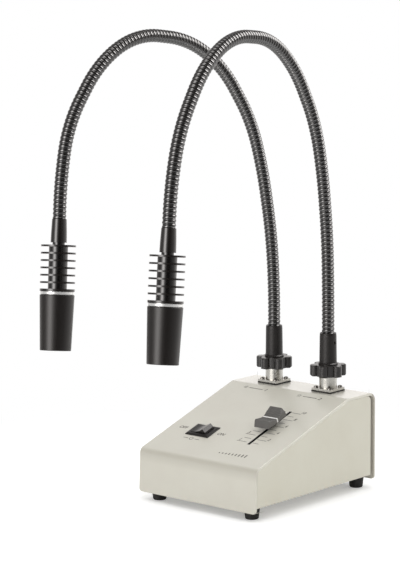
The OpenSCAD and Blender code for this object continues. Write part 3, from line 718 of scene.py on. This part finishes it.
HOOD = dict(roughness=0.34, gloss=1.5, ring_depth_mm=0.002, grain_mm=0.45, grain_depth_mm=0.014)
HEAD = dict(roughness=0.13, gloss=1.72, ring_depth_mm=0.0015, grain_mm=0.5, grain_depth_mm=0.001)
SLEEVE = dict(roughness=0.42, gloss=1.45, ring_depth_mm=0.0015, grain_mm=0.5, grain_depth_mm=0.001)
head_axis = {}
for arm in "ab":
    along_head = middle_of("hood_" + arm) - middle_of("head_sleeve_" + arm)
    head_axis[arm] = along_head.normalized()
    anodised("blasted_hood_" + arm, head_axis[arm], **HOOD)
    anodised("turned_head_" + arm, head_axis[arm], **HEAD)
anodised("turned_sleeve", (0, 0, 1), **SLEEVE)
print("head axes:", {arm: tuple(round(v, 3) for v in axis) for arm, axis in head_axis.items()})

# %% [markdown]
# ## Moulded plastics and rubber
# Knobs, switch and feet come out of moulds with a finely pebbled skin. The knobs shine under a
# thin coat, the switch is satin, gaskets and feet are dull rubber. One maker serves them all,
# because only the colours, the roughness and the size of the pebbles differ.

# %% Moulded plastics and rubber
def moulded(name, dark, light, roughness, pebble_mm, depth_mm, **sockets):
    """A moulded skin: two close colours, a pebble size and how deep the pebbles are."""
    tree, shader = new_finish(name, **sockets)
    skin = effect(tree, pebbles, Size_mm=pebble_mm)
    film = effect(tree, dust, Amount=0.12)
    tone = cloudy(tree, 9.0, dark, light)
    tone = mix_colours(tree, film.outputs["Mask"], tone, srgb(150, 148, 144))
    tree.links.new(tone, shader.inputs["Base Color"])
    tree.links.new(
        span(tree, skin.outputs["Specks"], roughness - 0.03, roughness + 0.04),
        shader.inputs["Roughness"],
    )
    bump(tree, shader, skin.outputs["Height"], depth_mm)


moulded(
    "knob_plastic", srgb(22, 18, 16), srgb(29, 25, 23),
    roughness=0.36, pebble_mm=0.6, depth_mm=0.006, Coat_Weight=0.3, Coat_Roughness=0.12,
)
moulded(
    "switch_plastic", srgb(20, 17, 15), srgb(28, 25, 23),
    roughness=0.34, pebble_mm=0.3, depth_mm=0.008,
)
moulded(
    "rocker_plastic", srgb(26, 24, 23), srgb(33, 31, 29),
    roughness=0.22, pebble_mm=0.5, depth_mm=0.006, Specular_IOR_Level=0.35,
)
moulded(
    "foot_rubber", srgb(14, 12, 10), srgb(21, 18, 16),
    roughness=0.6, pebble_mm=0.5, depth_mm=0.02,
)
moulded(
    "gasket_rubber", srgb(14, 12, 11), srgb(22, 20, 18),
    roughness=0.7, pebble_mm=0.4, depth_mm=0.02,
)
moulded(
    "part_black", srgb(24, 23, 22), srgb(32, 31, 30),
    roughness=0.45, pebble_mm=0.3, depth_mm=0.01,
)
print("finishes so far:", len(finishes))

# %% [markdown]
# ## The fader's cap
# The cap is grey plastic with a white line across its saddle. The line could be a strip of its
# own, but it is printed on the cap, so it is a mask in the cap's material, raised by a hair.

# %% Fader cap with its white line
CAP_LINE_U = 56.1
CAP_LINE_HALF = 0.6
tree, shader = new_finish("cap_plastic")
skin = effect(tree, pebbles, Size_mm=0.35)
up = effect(tree, panel_place).outputs["Up"]
line = within(tree, up, CAP_LINE_U - CAP_LINE_HALF, CAP_LINE_U + CAP_LINE_HALF)
tone = cloudy(tree, 9.0, srgb(90, 88, 85), srgb(97, 95, 92))
tree.links.new(mix_colours(tree, line, tone, srgb(226, 225, 221)), shader.inputs["Base Color"])
tree.links.new(span(tree, skin.outputs["Specks"], 0.42, 0.52), shader.inputs["Roughness"])
first = bump(tree, shader, skin.outputs["Height"], 0.008)
bump(tree, shader, line, 0.06, before=first)
print("finish: cap_plastic")

# %% [markdown]
# ## Lacquered wire
# The necks are steel wire under black lacquer, the glossiest black of the lamp. A metal would
# tint its highlights, and a coat over a base gives two at once. A dark shader with a high index
# and a nearly polished skin gives the single bright bead of each turn.

# %% Lacquered wire
tree, shader = new_finish("neck_lacquer", IOR=2.05)
skin = effect(tree, pebbles, Size_mm=0.9)
tone = cloudy(tree, 14.0, srgb(10, 8, 7), srgb(17, 14, 12))
tree.links.new(tone, shader.inputs["Base Color"])
tree.links.new(span(tree, skin.outputs["Specks"], 0.09, 0.13), shader.inputs["Roughness"])
bump(tree, shader, skin.outputs["Height"], 0.001)
print("finish: neck_lacquer")

# %% [markdown]
# ## Bright metal
# The socket plates and barrels are plated, the ring above each hood is freshly turned aluminium,
# and the screws are zinc. Metal gets its look from what it mirrors, so no shine is painted on.
# It only needs its colour, a little roughness and the rings of the lathe.

# %% Metals
METAL_RING_DEPTH_MM = 0.004
DARKER_CUT = 0.86


def bright_metal(name, colour, roughness, pitch_mm, axis=(0, 0, 1), metal=1.0):
    """Metal with rings about an axis, lighter and darker along the cuts."""
    tree, shader = new_finish(name, Metallic=metal)
    marks = effect(tree, rings, Pitch_mm=pitch_mm, Axis=tuple(axis))
    drift = effect(tree, clouds, Size_mm=6.0)
    darker = tuple(channel * DARKER_CUT for channel in colour[:3]) + (1.0,)
    tone = mix_colours(tree, marks.outputs["Streaks"], darker, colour)
    tree.links.new(tone, shader.inputs["Base Color"])
    tree.links.new(
        span(tree, drift.outputs["Mask"], roughness - 0.05, roughness + 0.06),
        shader.inputs["Roughness"],
    )
    bump(tree, shader, marks.outputs["Height"], METAL_RING_DEPTH_MM)


bright_metal("bright_plate", srgb(198, 196, 190), roughness=0.26, pitch_mm=0.5)
bright_metal("zinc_steel", srgb(150, 147, 142), roughness=0.30, pitch_mm=0.2)
bright_metal("brass", srgb(214, 178, 100), roughness=0.28, pitch_mm=0.2)
bright_metal("black_steel", srgb(58, 55, 53), roughness=0.30, pitch_mm=0.2)
for arm in "ab":
    bright_metal(
        "bright_ring_" + arm, srgb(246, 246, 244), roughness=0.16, pitch_mm=0.10,
        axis=head_axis[arm], metal=0.5,
    )
print("finishes so far:", len(finishes))

# %% [markdown]
# ## The fader's track
# Under the slot lies the fader's steel case, whose open mouth lies in shade. The slot shows only
# a thin line of it, so the mouth isn't cut: a band is painted black as shade, and is no metal.

# %% Fader track
MOUTH_HALF = 2.2
tree, shader = new_finish("fader_track")
beside = effect(tree, panel_place).outputs["Across"]
mouth_shade = within(tree, beside, FADER_X - MOUTH_HALF, FADER_X + MOUTH_HALF)
skin = effect(tree, pebbles, Size_mm=0.6)
# painted shade: the band over the mouth is black
tone = mix_colours(tree, mouth_shade, srgb(200, 199, 195), srgb(14, 13, 12))
tree.links.new(tone, shader.inputs["Base Color"])
tree.links.new(maths(tree, "SUBTRACT", 1.0, mouth_shade), shader.inputs["Metallic"])
tree.links.new(span(tree, skin.outputs["Specks"], 0.35, 0.55), shader.inputs["Roughness"])
bump(tree, shader, skin.outputs["Height"], 0.01)
print("finish: fader_track")

# %% [markdown]
# ## Glass and light source
# The lens keeps a plain transmission value, because exporters read glass that way. The LED is a
# yellow phosphor dome on a white board. The dome could be a piece of its own, but it is part of
# the board's solid, so the distance from the head's axis tells the two apart.

# %% Lens and LED
tree, shader = new_finish(
    "lens_glass", Transmission_Weight=1.0, IOR=1.5, Base_Color=(0.97, 0.985, 1.0, 1)
)
drift = effect(tree, clouds, Size_mm=5.0)
tree.links.new(span(tree, drift.outputs["Mask"], 0.02, 0.07), shader.inputs["Roughness"])

LED_R = 2.6
for arm in "ab":
    tree, shader = new_finish("led_white_" + arm, Specular_IOR_Level=0.4)
    skin = effect(tree, pebbles, Size_mm=0.3)
    from_middle = add_node(tree, "VectorMath", operation="SUBTRACT")
    tree.links.new(add_node(tree, "TexCoord").outputs["Object"], from_middle.inputs[0])
    from_middle.inputs[1].default_value = middle_of("led_board_" + arm)
    off_axis = add_node(tree, "VectorMath", operation="CROSS_PRODUCT")
    tree.links.new(from_middle.outputs[0], off_axis.inputs[0])
    off_axis.inputs[1].default_value = head_axis[arm] / MM
    radius = add_node(tree, "VectorMath", operation="LENGTH")
    tree.links.new(off_axis.outputs[0], radius.inputs[0])
    board = mix_colours(tree, skin.outputs["Specks"], srgb(232, 230, 220), srgb(240, 238, 230))
    phosphor = within(tree, radius.outputs["Value"], -LED_R, LED_R, 0.2)
    tone = mix_colours(tree, phosphor, board, srgb(238, 205, 92))
    tree.links.new(tone, shader.inputs["Base Color"])
    tree.links.new(span(tree, skin.outputs["Specks"], 0.35, 0.5), shader.inputs["Roughness"])
    bump(tree, shader, skin.outputs["Height"], 0.01)
print("finishes so far:", len(finishes))

# %% [markdown]
# ## The circuit board
# The driver board is green, with lighter copper lanes under its mask. Nobody sees it unless the
# box is opened, so a brick pattern stands in for lanes that would have to be drawn one by one.

# %% Circuit board
LANE_MM = 6
tree, shader = new_finish("circuit_board", Coat_Weight=0.4)
lanes = add_node(tree, "TexBrick")
lanes.inputs["Scale"].default_value = 1.0
lanes.inputs["Mortar Size"].default_value = 0.03
lanes.inputs["Color1"].default_value = srgb(16, 84, 50)
lanes.inputs["Color2"].default_value = srgb(20, 92, 56)
lanes.inputs["Mortar"].default_value = srgb(44, 128, 80)
cells = add_node(tree, "VectorMath", operation="SCALE")
cells.inputs["Scale"].default_value = 1 / (LANE_MM * MM)
tree.links.new(add_node(tree, "TexCoord").outputs["Object"], cells.inputs[0])
tree.links.new(cells.outputs[0], lanes.inputs["Vector"])
tree.links.new(lanes.outputs["Color"], shader.inputs["Base Color"])
drift = effect(tree, clouds, Size_mm=8.0)
tree.links.new(span(tree, drift.outputs["Mask"], 0.3, 0.45), shader.inputs["Roughness"])
print("finish: circuit_board")

# %% [markdown]
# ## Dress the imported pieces
# Every node of the frame takes its finish here. Each could be set by hand in its own line, but a
# table of finishes and their pieces reads like a parts list, and what it forgot is printed.

# %% Give each piece its finish
WEARS = {
    "paint": ["top_cover"],
    "paint_tray": ["base_tray"],
    "foot_rubber": ["feet"],
    "zinc_steel": [
        "foot_screws", "foot_nuts", "rear_screws", "socket_screws", "board_screws",
        "board_spacers", "fader_nuts", "inlet_nut",
    ],
    "fader_track": ["fader_body"],
    "black_steel": ["set_screw_a", "set_screw_b", "fader_lever"],
    "bright_plate": ["socket_a", "socket_b", "arm_plug_a", "arm_plug_b"],
    "switch_plastic": ["switch_housing"],
    "rocker_plastic": ["switch_rocker"],
    "brass": ["switch_terminals", "contact_insert_a", "contact_insert_b"],
    "cap_plastic": ["fader_cap"],
    "circuit_board": ["driver_board"],
    "part_black": ["board_parts", "power_inlet"],
    "gasket_rubber": ["socket_gaskets"],
    "knob_plastic": ["coupling_knob_a", "coupling_knob_b"],
    "turned_sleeve": ["base_sleeve_a", "base_sleeve_b"],
    "lens_glass": ["lens_a", "lens_b"],
    "neck_lacquer": ["neck_%s_%d" % (arm, i) for arm in "ab" for i in range(1, 6)],
}
for arm in "ab":
    WEARS["turned_head_" + arm] = ["head_sleeve_" + arm, "heat_sink_" + arm]
    WEARS["blasted_hood_" + arm] = ["hood_" + arm, "lens_clip_" + arm]
    WEARS["bright_ring_" + arm] = ["trim_ring_" + arm]
    WEARS["led_white_" + arm] = ["led_board_" + arm]

dressed = set()
for finish, names in WEARS.items():
    for name in names:
        mesh = nodes[name].data
        mesh.materials.clear()
        mesh.materials.append(finishes[finish])
        dressed.add(name)
print("dressed:", len(dressed), "left bare:", sorted(set(nodes) - dressed))

# %% [markdown]
# ## Round the sharp edges
# Folded sheet and moulded plastic have no knife edges: a thin line of light runs along each one.
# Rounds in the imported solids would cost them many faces, so modifiers make the rounds here and
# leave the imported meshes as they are. Points that coincide are welded, flat faces are joined,
# and only the edges that are really sharp get a bevel.

# %% Round the sharp edges
EDGE_ROUND_MM = {"top_cover": 0.35, "base_tray": 0.35, "fader_cap": 0.25}
WELD_REACH = 1e-6
FLAT_ANGLE = math.radians(0.1)
SHARP_ANGLE = math.radians(40)
for name, radius in EDGE_ROUND_MM.items():
    weld = nodes[name].modifiers.new("weld", "WELD")
    weld.merge_threshold = WELD_REACH
    flat = nodes[name].modifiers.new("flat faces", "DECIMATE")
    flat.decimate_type = "DISSOLVE"
    flat.angle_limit = FLAT_ANGLE
    edge = nodes[name].modifiers.new("edge", "BEVEL")
    edge.width = radius * MM
    edge.segments = 2
    edge.limit_method = "ANGLE"
    edge.angle_limit = SHARP_ANGLE
    edge.use_clamp_overlap = False
    edge.harden_normals = True
print("rounded:", sorted(EDGE_ROUND_MM))

# %% [markdown]
# ## Printing on the panel
# The panel is screen printed in dark grey: a scale of ten settings beside the fader, with the
# odd numbers on its left and the even ones on its right, ON and OFF at the rocker, and plain
# signs for power, brightness and the two lamps. A picture on the paint would blur from close by.
# Ink has a thickness, so each mark is a thin slab on the paint, and all are one piece.

# %% Ink
tree, shader = new_finish("ink", Specular_IOR_Level=0.3)
skin = effect(tree, pebbles, Size_mm=0.25)
tone = mix_colours(tree, skin.outputs["Specks"], srgb(66, 62, 58), srgb(84, 80, 76))
tree.links.new(tone, shader.inputs["Base Color"])
tree.links.new(span(tree, skin.outputs["Specks"], 0.45, 0.6), shader.inputs["Roughness"])
bump(tree, shader, skin.outputs["Height"], 0.004)
INK_T = 0.03
STROKE = 0.42
ink_points = []
ink_faces = []
print("ink", INK_T, "mm thick")

# %% [markdown]
# ### Strokes, arcs and letters
# Lines and arcs are simple enough to be written as closed slabs, face by face. Letters drawn that
# way would take a table of outlines, so they come from Blender's own typeface, turned into a mesh
# and laid on the slope. Touching points are joined, so that each letter is closed as well.

# %% Straight strokes
def slab(outline):
    """A thin closed slab over an outline of (x, u) points, counter-clockwise, on the panel."""
    first = len(ink_points)
    count = len(outline)
    for h in (0.0, INK_T):
        ink_points.extend(tuple(on_panel(x, u, h)) for x, u in outline)
    ink_faces.append([first + i for i in reversed(range(count))])
    ink_faces.append([first + count + i for i in range(count)])
    for i in range(count):
        j = (i + 1) % count
        ink_faces.append([first + i, first + j, first + count + j, first + count + i])


def stroke(x0, u0, x1, u1, width=STROKE):
    """A straight printed line between two places."""
    run = Vector((x1 - x0, u1 - u0)).normalized() * width / 2
    side = Vector((-run.y, run.x))
    slab([
        (x0 + side.x, u0 + side.y), (x0 - side.x, u0 - side.y),
        (x1 - side.x, u1 - side.y), (x1 + side.x, u1 + side.y),
    ])


print("usual stroke:", STROKE, "mm")

# %% Arcs
def arc_stroke(x, u, radius, from_deg, to_deg, steps, width=STROKE):
    """A printed part of a circle, or a whole one, as one closed band."""
    first = len(ink_points)
    whole = to_deg - from_deg == 360
    stops = steps if whole else steps + 1
    for k in range(stops):
        a = math.radians(from_deg + (to_deg - from_deg) * k / steps)
        for r in (radius - width / 2, radius + width / 2):
            for h in (0.0, INK_T):
                ink_points.append(tuple(on_panel(x + r * math.cos(a), u + r * math.sin(a), h)))
    for k in range(steps):
        a = first + 4 * k
        b = first + 4 * ((k + 1) % stops)
        ink_faces.extend([
            [a + 1, a + 3, b + 3, b + 1], [a, b, b + 2, a + 2],
            [a, a + 1, b + 1, b], [a + 2, b + 2, b + 3, a + 3],
        ])
    if not whole:
        end = first + 4 * steps
        ink_faces.append([first, first + 2, first + 3, first + 1])
        ink_faces.append([end, end + 1, end + 3, end + 2])


print("arc helper ready")

# %% Letters
LETTER_SLANT = 0.25
LETTER_WEIGHT = 0.05
CAP_SHARE = 0.73


def letters(text, x, u, cap_height):
    """Printed characters centred at a place, with the height of a capital in millimetres."""
    curve = bpy.data.curves.new("letters", "FONT")
    curve.body = text
    curve.size = cap_height / CAP_SHARE
    curve.shear = LETTER_SLANT
    curve.offset = LETTER_WEIGHT
    curve.align_x = "CENTER"
    curve.align_y = "CENTER"
    curve.extrude = INK_T / 2
    curve.resolution_u = 3
    writing = bpy.data.objects.new("letters", curve)
    bpy.context.scene.collection.objects.link(writing)
    bpy.context.view_layer.update()
    shaped = writing.evaluated_get(bpy.context.evaluated_depsgraph_get())
    mesh = bpy.data.meshes.new_from_object(shaped)
    work = bmesh.new()
    work.from_mesh(mesh)
    bmesh.ops.remove_doubles(work, verts=work.verts, dist=1e-4)
    work.verts.index_update()
    first = len(ink_points)
    for vert in work.verts:
        ink_points.append(tuple(on_panel(x + vert.co.x, u + vert.co.y, INK_T / 2 + vert.co.z)))
    ink_faces.extend([first + vert.index for vert in face.verts] for face in work.faces)
    work.free()
    bpy.data.objects.remove(writing)
    bpy.data.curves.remove(curve)
    bpy.data.meshes.remove(mesh)


print("letters lean by", LETTER_SLANT)

# %% [markdown]
# ### The scale
# Ten marks run on both sides of the slot. A real scale is spaced by a rule, so a loop sets the
# marks at even steps, with the longer one on the side where its number stands.

# %% Scale beside the fader
SCALE_FROM = 31.5
SCALE_STEP = 5.06
LEFT_END = 19.8
RIGHT_END = 25.4
ODD_ENDS = (11.2, 30.8)
EVEN_ENDS = (13.9, 33.6)
ODD_NUMBER = (12.4, 2.1)
EVEN_NUMBER = (34.4, 2.0)
NUMBER_H = 2.8
for setting in range(1, 11):
    u = SCALE_FROM + SCALE_STEP * (setting - 1)
    odd = setting % 2 == 1
    left, right = ODD_ENDS if odd else EVEN_ENDS
    stroke(left, u, LEFT_END, u)
    stroke(RIGHT_END, u, right, u)
    x, above = ODD_NUMBER if odd else EVEN_NUMBER
    letters(str(setting), x, u + above, NUMBER_H)
print("marks so far:", len(ink_faces))

# %% [markdown]
# ### Words and signs
# Beside the rocker stand OFF and ON, with the usual sign for power below it and a rule on each
# side. Below the fader nine bars grow with the brightness. In front of each socket stand a small
# sun, a rule and the number of the lamp. Signs are read in any language, so they need no words.

# %% Words and sign at the rocker
WORD_H = 3.0
POWER_X, POWER_U = -24.6, 23.4
POWER_R = 1.5
POWER_RULE = (3.0, 7.2)
letters("OFF", -42.1, 35.4, WORD_H)
letters("ON", -6.6, 35.0, WORD_H)
arc_stroke(POWER_X, POWER_U, POWER_R, 125, 415, 20)
stroke(POWER_X, POWER_U + 0.3, POWER_X, POWER_U + 2.1)
for side in (-1, 1):
    near_end, far_end = (POWER_X + side * reach for reach in POWER_RULE)
    stroke(near_end, POWER_U, far_end, POWER_U, 0.45)
print("marks so far:", len(ink_faces))

# %% Bars below the fader
BARS = 9
BARS_FROM = (10.2, 12.2)
BAR_STEP = 2.85
BAR_LOWEST = 0.8
BAR_GROWTH = 2.9
for k in range(BARS):
    x = BARS_FROM[0] + BAR_STEP * k
    stroke(x, BARS_FROM[1], x, BARS_FROM[1] + BAR_LOWEST + BAR_GROWTH * (k + 1) / BARS, 0.9)
print("marks so far:", len(ink_faces))

# %% Suns in front of the sockets
SUN_U = 100.6
SUN_R = 0.85
SUN_RAYS = 8
RAY_REACH = (1.3, 1.9)
RULE_U = 100.4
RULE_REACH = (3.4, 15.8)
LAMP_NUMBER_X = 18.6
LAMP_NUMBER_H = 3.2
for x, number in ((-35.6, "1"), (14.2, "2")):
    arc_stroke(x, SUN_U, SUN_R, 0, 360, 14, 0.3)
    for k in range(SUN_RAYS):
        a = 2 * math.pi * k / SUN_RAYS
        ends = [(x + r * math.cos(a), SUN_U + r * math.sin(a)) for r in RAY_REACH]
        stroke(*ends[0], *ends[1], 0.28)
    stroke(x + RULE_REACH[0], RULE_U, x + RULE_REACH[1], RULE_U, 0.6)
    letters(number, x + LAMP_NUMBER_X, RULE_U, LAMP_NUMBER_H)
print("marks so far:", len(ink_faces))

# %% [markdown]
# ### One piece of printing
# Every loose mark would be a piece of its own to place and to keep track of. Joined into one
# mesh they ride on the box together, and their faces are turned outward in one go.

# %% Join the printing
printing_mesh = bpy.data.meshes.new("panel_printing")
printing_mesh.from_pydata(ink_points, [], ink_faces)
work = bmesh.new()
work.from_mesh(printing_mesh)
bmesh.ops.recalc_face_normals(work, faces=work.faces)
work.to_mesh(printing_mesh)
work.free()
printing_mesh.materials.append(finishes["ink"])
printing = bpy.data.objects.new("panel_printing", printing_mesh)
bpy.context.scene.collection.objects.link(printing)
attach(printing, "box")
print("printed faces:", len(printing_mesh.polygons))

# %% [markdown]
# ## The wound necks
# A real gooseneck is a coil of round steel wire with a thinner wire wound into its groove. The
# imported necks only have coarse ribs, so each is replaced by its winding at the true pitch. First
# comes the route, the same as the imported one: five stretches per arm, each bent in two halves,
# with a short straight run at both of its ends. A curve drawn by eye would be quicker, but it
# would leave the joints, which sit where two stretches meet.

# %% Sizes of the route
NECK_START = 49.0
STRETCH = 85.2
HALF = STRETCH / 2
LEAD = 4.6
ROUND_RUN = HALF - LEAD
STRETCHES = 5
SOCKET_PITCH = 50.0
SOCKET_D = 116.5
HEADING = {"a": -96.0, "b": -82.8}
BENDS = {
    "a": [4.2, 6, 7, 17.4, 22.1, 25.9, 34.7, 27.4, 21.4, 5.9],
    "b": [1.8, 6, 7.5, 18.3, 20.7, 30.5, 33.7, 25.4, 17.8, 9.2],
}
SIDE_BEND = {"a": 5.5, "b": 2.5}
SIDE = {"a": -1, "b": 1}
print("length of a neck:", STRETCHES * STRETCH, "mm")

# %% Route of an arm
def bent(start, bend, side_bend, straight, distance):
    """The frame along half a stretch, which runs straight, then round, then straight again."""
    place, inward, hinge, forward = start
    axis = (hinge * bend - inward * side_bend).normalized()
    angle = math.radians(math.hypot(bend, side_bend))
    radius = ROUND_RUN / angle
    towards = axis.cross(forward)
    spin = Quaternion(axis, angle * min(1.0, max(0.0, (distance - straight) / ROUND_RUN)))
    ahead = spin @ forward
    if distance < straight:
        place = place + forward * distance
    else:
        centre = place + forward * straight + towards * radius
        over = max(0.0, distance - straight - ROUND_RUN)
        place = centre - (spin @ towards) * radius + ahead * over
    return place, spin @ inward, spin @ hinge, ahead


def along(arm, i, start, distance):
    """The frame at a distance along stretch i, counted from 0, which bends in two halves."""
    side = SIDE_BEND[arm] / 2 if i == STRETCHES - 1 else 0
    first, second = BENDS[arm][2 * i : 2 * i + 2]
    if distance <= HALF:
        return bent(start, first, side, LEAD, distance)
    return bent(bent(start, first, side, LEAD, HALF), second, side, 0.0, distance - HALF)


def arm_start(arm):
    """The frame where the neck leaves its sleeve, in millimetres."""
    heading = math.radians(HEADING[arm])
    away = Vector((math.cos(heading), math.sin(heading), 0))
    place = Vector((
        box_x / MM + SIDE[arm] * SOCKET_PITCH / 2,
        front_y / MM + SOCKET_D,
        top_z / MM + NECK_START,
    ))
    return place, away, Vector((0, 0, 1)).cross(away), Vector((0, 0, 1))


hinge_frames = {}
for arm in "ab":
    hinge_frames[arm] = [arm_start(arm)]
    for i in range(STRETCHES):
        hinge_frames[arm].append(along(arm, i, hinge_frames[arm][-1], STRETCH))
    print("arm", arm, "ends at", [round(v, 2) for v in hinge_frames[arm][-1][0]])

# %% [markdown]
# ### The route as a table
# The winding asks for the route at thousands of distances. Working each one out again would be
# slow, so the route is sampled finely once and read in between the samples.

# %% Fine table of the route
ROUTE_STEP = 0.25
ROUTE_FROM = -19.0
ROUTE_TO = STRETCHES * STRETCH + 8.0
PLACE, INWARD, HINGE = slice(0, 3), slice(3, 6), slice(6, 9)


def route_table(arm):
    """Distances along the arm and, for each, its place and its two cross directions."""
    distances = np.arange(ROUTE_FROM, ROUTE_TO, ROUTE_STEP)
    rows = []
    for distance in distances:
        i = min(STRETCHES - 1, max(0, int(distance // STRETCH)))
        place, inward, hinge, _ = along(arm, i, hinge_frames[arm][i], distance - i * STRETCH)
        rows.append((*place, *inward, *hinge))
    return distances, np.array(rows)


routes = {arm: route_table(arm) for arm in "ab"}
print("route samples per arm:", len(routes["a"][0]))

# %% [markdown]
# ### The two wires
# Two full tubes wound round the neck would hide most of their faces inside. Only the outer side
# of each wire shows, so the winding is one strip with the outline of both wires across it. It
# climbs by one pitch in each turn and meets itself along the crease between two turns.

# %% Outline of the two wires
WIRE_PITCH = 2.95
NECK_R = 4.6
ROUND_HALF = 1.06
ROUND_RISE = 0.62
ROUND_STEPS = 10
ROUND_REACH_DEG = 84
THIN_CREST = 4.33
THIN_HALF = 0.40
THIN_RISE = 0.34
THIN_STEPS = 5
THIN_REACH_DEG = 78


def wire_arc(middle, crest, half_width, rise, steps, reach_deg):
    """Distances along the neck and radii over the outer side of one wire in the coil."""
    angles = np.radians(np.linspace(-reach_deg, reach_deg, steps + 1))
    return [(middle + half_width * math.sin(a), crest - rise * (1 - math.cos(a))) for a in angles]


outline = wire_arc(
    WIRE_PITCH / 2, NECK_R, ROUND_HALF, ROUND_RISE, ROUND_STEPS, ROUND_REACH_DEG
)
outline += wire_arc(WIRE_PITCH, THIN_CREST, THIN_HALF, THIN_RISE, THIN_STEPS, THIN_REACH_DEG)
print("points across one turn:", len(outline))

# %% Wind one length of neck
TURN_STEPS = 24
WINDING_FROM = ROUTE_FROM + 1.0


def close_end(points, faces, rim, middle, flip):
    """Closes one end of a winding with a fan of triangles round its middle."""
    centre = len(points)
    points.append(tuple(middle * MM))
    for here, there in zip(rim, rim[1:] + rim[:1]):
        faces.append((centre, here, there) if flip else (centre, there, here))


def wound_length(name, arm, first, last):
    """Mesh of the winding from step first to step last; a turn has TURN_STEPS steps."""
    distances, rows = routes[arm]
    profile = np.array(outline)
    width = len(profile)
    turns = np.arange(first, last + TURN_STEPS + 1)
    start = WINDING_FROM + WIRE_PITCH * turns / TURN_STEPS
    reach = (start[:, None] + profile[None, :, 0]).ravel()
    radius = np.broadcast_to(profile[None, :, 1], (len(turns), width)).ravel()
    theta = np.repeat(2 * math.pi * turns / TURN_STEPS, width)
    at = np.stack([np.interp(reach, distances, column) for column in rows.T], axis=1)
    points = at[:, PLACE] + radius[:, None] * (
        np.cos(theta)[:, None] * at[:, INWARD] + np.sin(theta)[:, None] * at[:, HINGE]
    )
    points = list(map(tuple, points * MM))
    steps = last - first
    faces = []
    for k in range(steps):
        for j in range(width):
            here, there = k * width + j, (k + 1) * width + j
            if j < width - 1:
                faces.append((here, here + 1, there + 1, there))
            else:
                over = (k + TURN_STEPS) * width
                faces.append((here, over, over + width, there))
    for k, flip in ((0, False), (steps, True)):
        rim = [(k + turn) * width for turn in range(TURN_STEPS + 1)]
        rim += [k * width + j for j in range(width - 1, 0, -1)]
        sample = np.interp(start[k] + WIRE_PITCH, distances, np.arange(len(distances)))
        close_end(points, faces, rim, rows[int(round(float(sample))), PLACE], flip)
    mesh = bpy.data.meshes.new(name)
    mesh.from_pydata(points, [], faces)
    mesh.materials.append(finishes["neck_lacquer"])
    return mesh


print("steps in a turn:", TURN_STEPS)

# %% [markdown]
# ### Lengths of the necks round their joints
# Rigid lengths of wire would gape at a joint when it bends. The winding is cut in the
# middle of each stretch, so that each length covers one joint.

# %% Replace the imported necks
NECK_CUTS = [
    -17.0, *((i + 0.5) * STRETCH for i in range(1, STRETCHES)), STRETCHES * STRETCH + 3.0
]
CREASE_ANGLE = math.radians(60)


def strip_unused(mesh):
    """Removes the loose points that the next length's turns left behind."""
    work = bmesh.new()
    work.from_mesh(mesh)
    loose = [v for v in work.verts if not v.link_faces]
    bmesh.ops.delete(work, geom=loose, context="VERTS")
    bmesh.ops.recalc_face_normals(work, faces=work.faces)
    work.to_mesh(mesh)
    work.free()


steps_at = [int(round((cut - WINDING_FROM) / WIRE_PITCH * TURN_STEPS)) for cut in NECK_CUTS]
for arm in "ab":
    face_count = 0
    for i in range(1, STRETCHES + 1):
        name = "neck_winding_%s_%d" % (arm, i)
        mesh = wound_length(name, arm, steps_at[i - 1], steps_at[i])
        strip_unused(mesh)
        mesh.shade_smooth()
        mesh.set_sharp_from_angle(angle=CREASE_ANGLE)
        face_count += len(mesh.polygons)
        winding = bpy.data.objects.new(name, mesh)
        bpy.context.scene.collection.objects.link(winding)
        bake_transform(winding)
        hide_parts("neck_%s_%d" % (arm, i))
    print("arm", arm, "winding faces:", face_count)
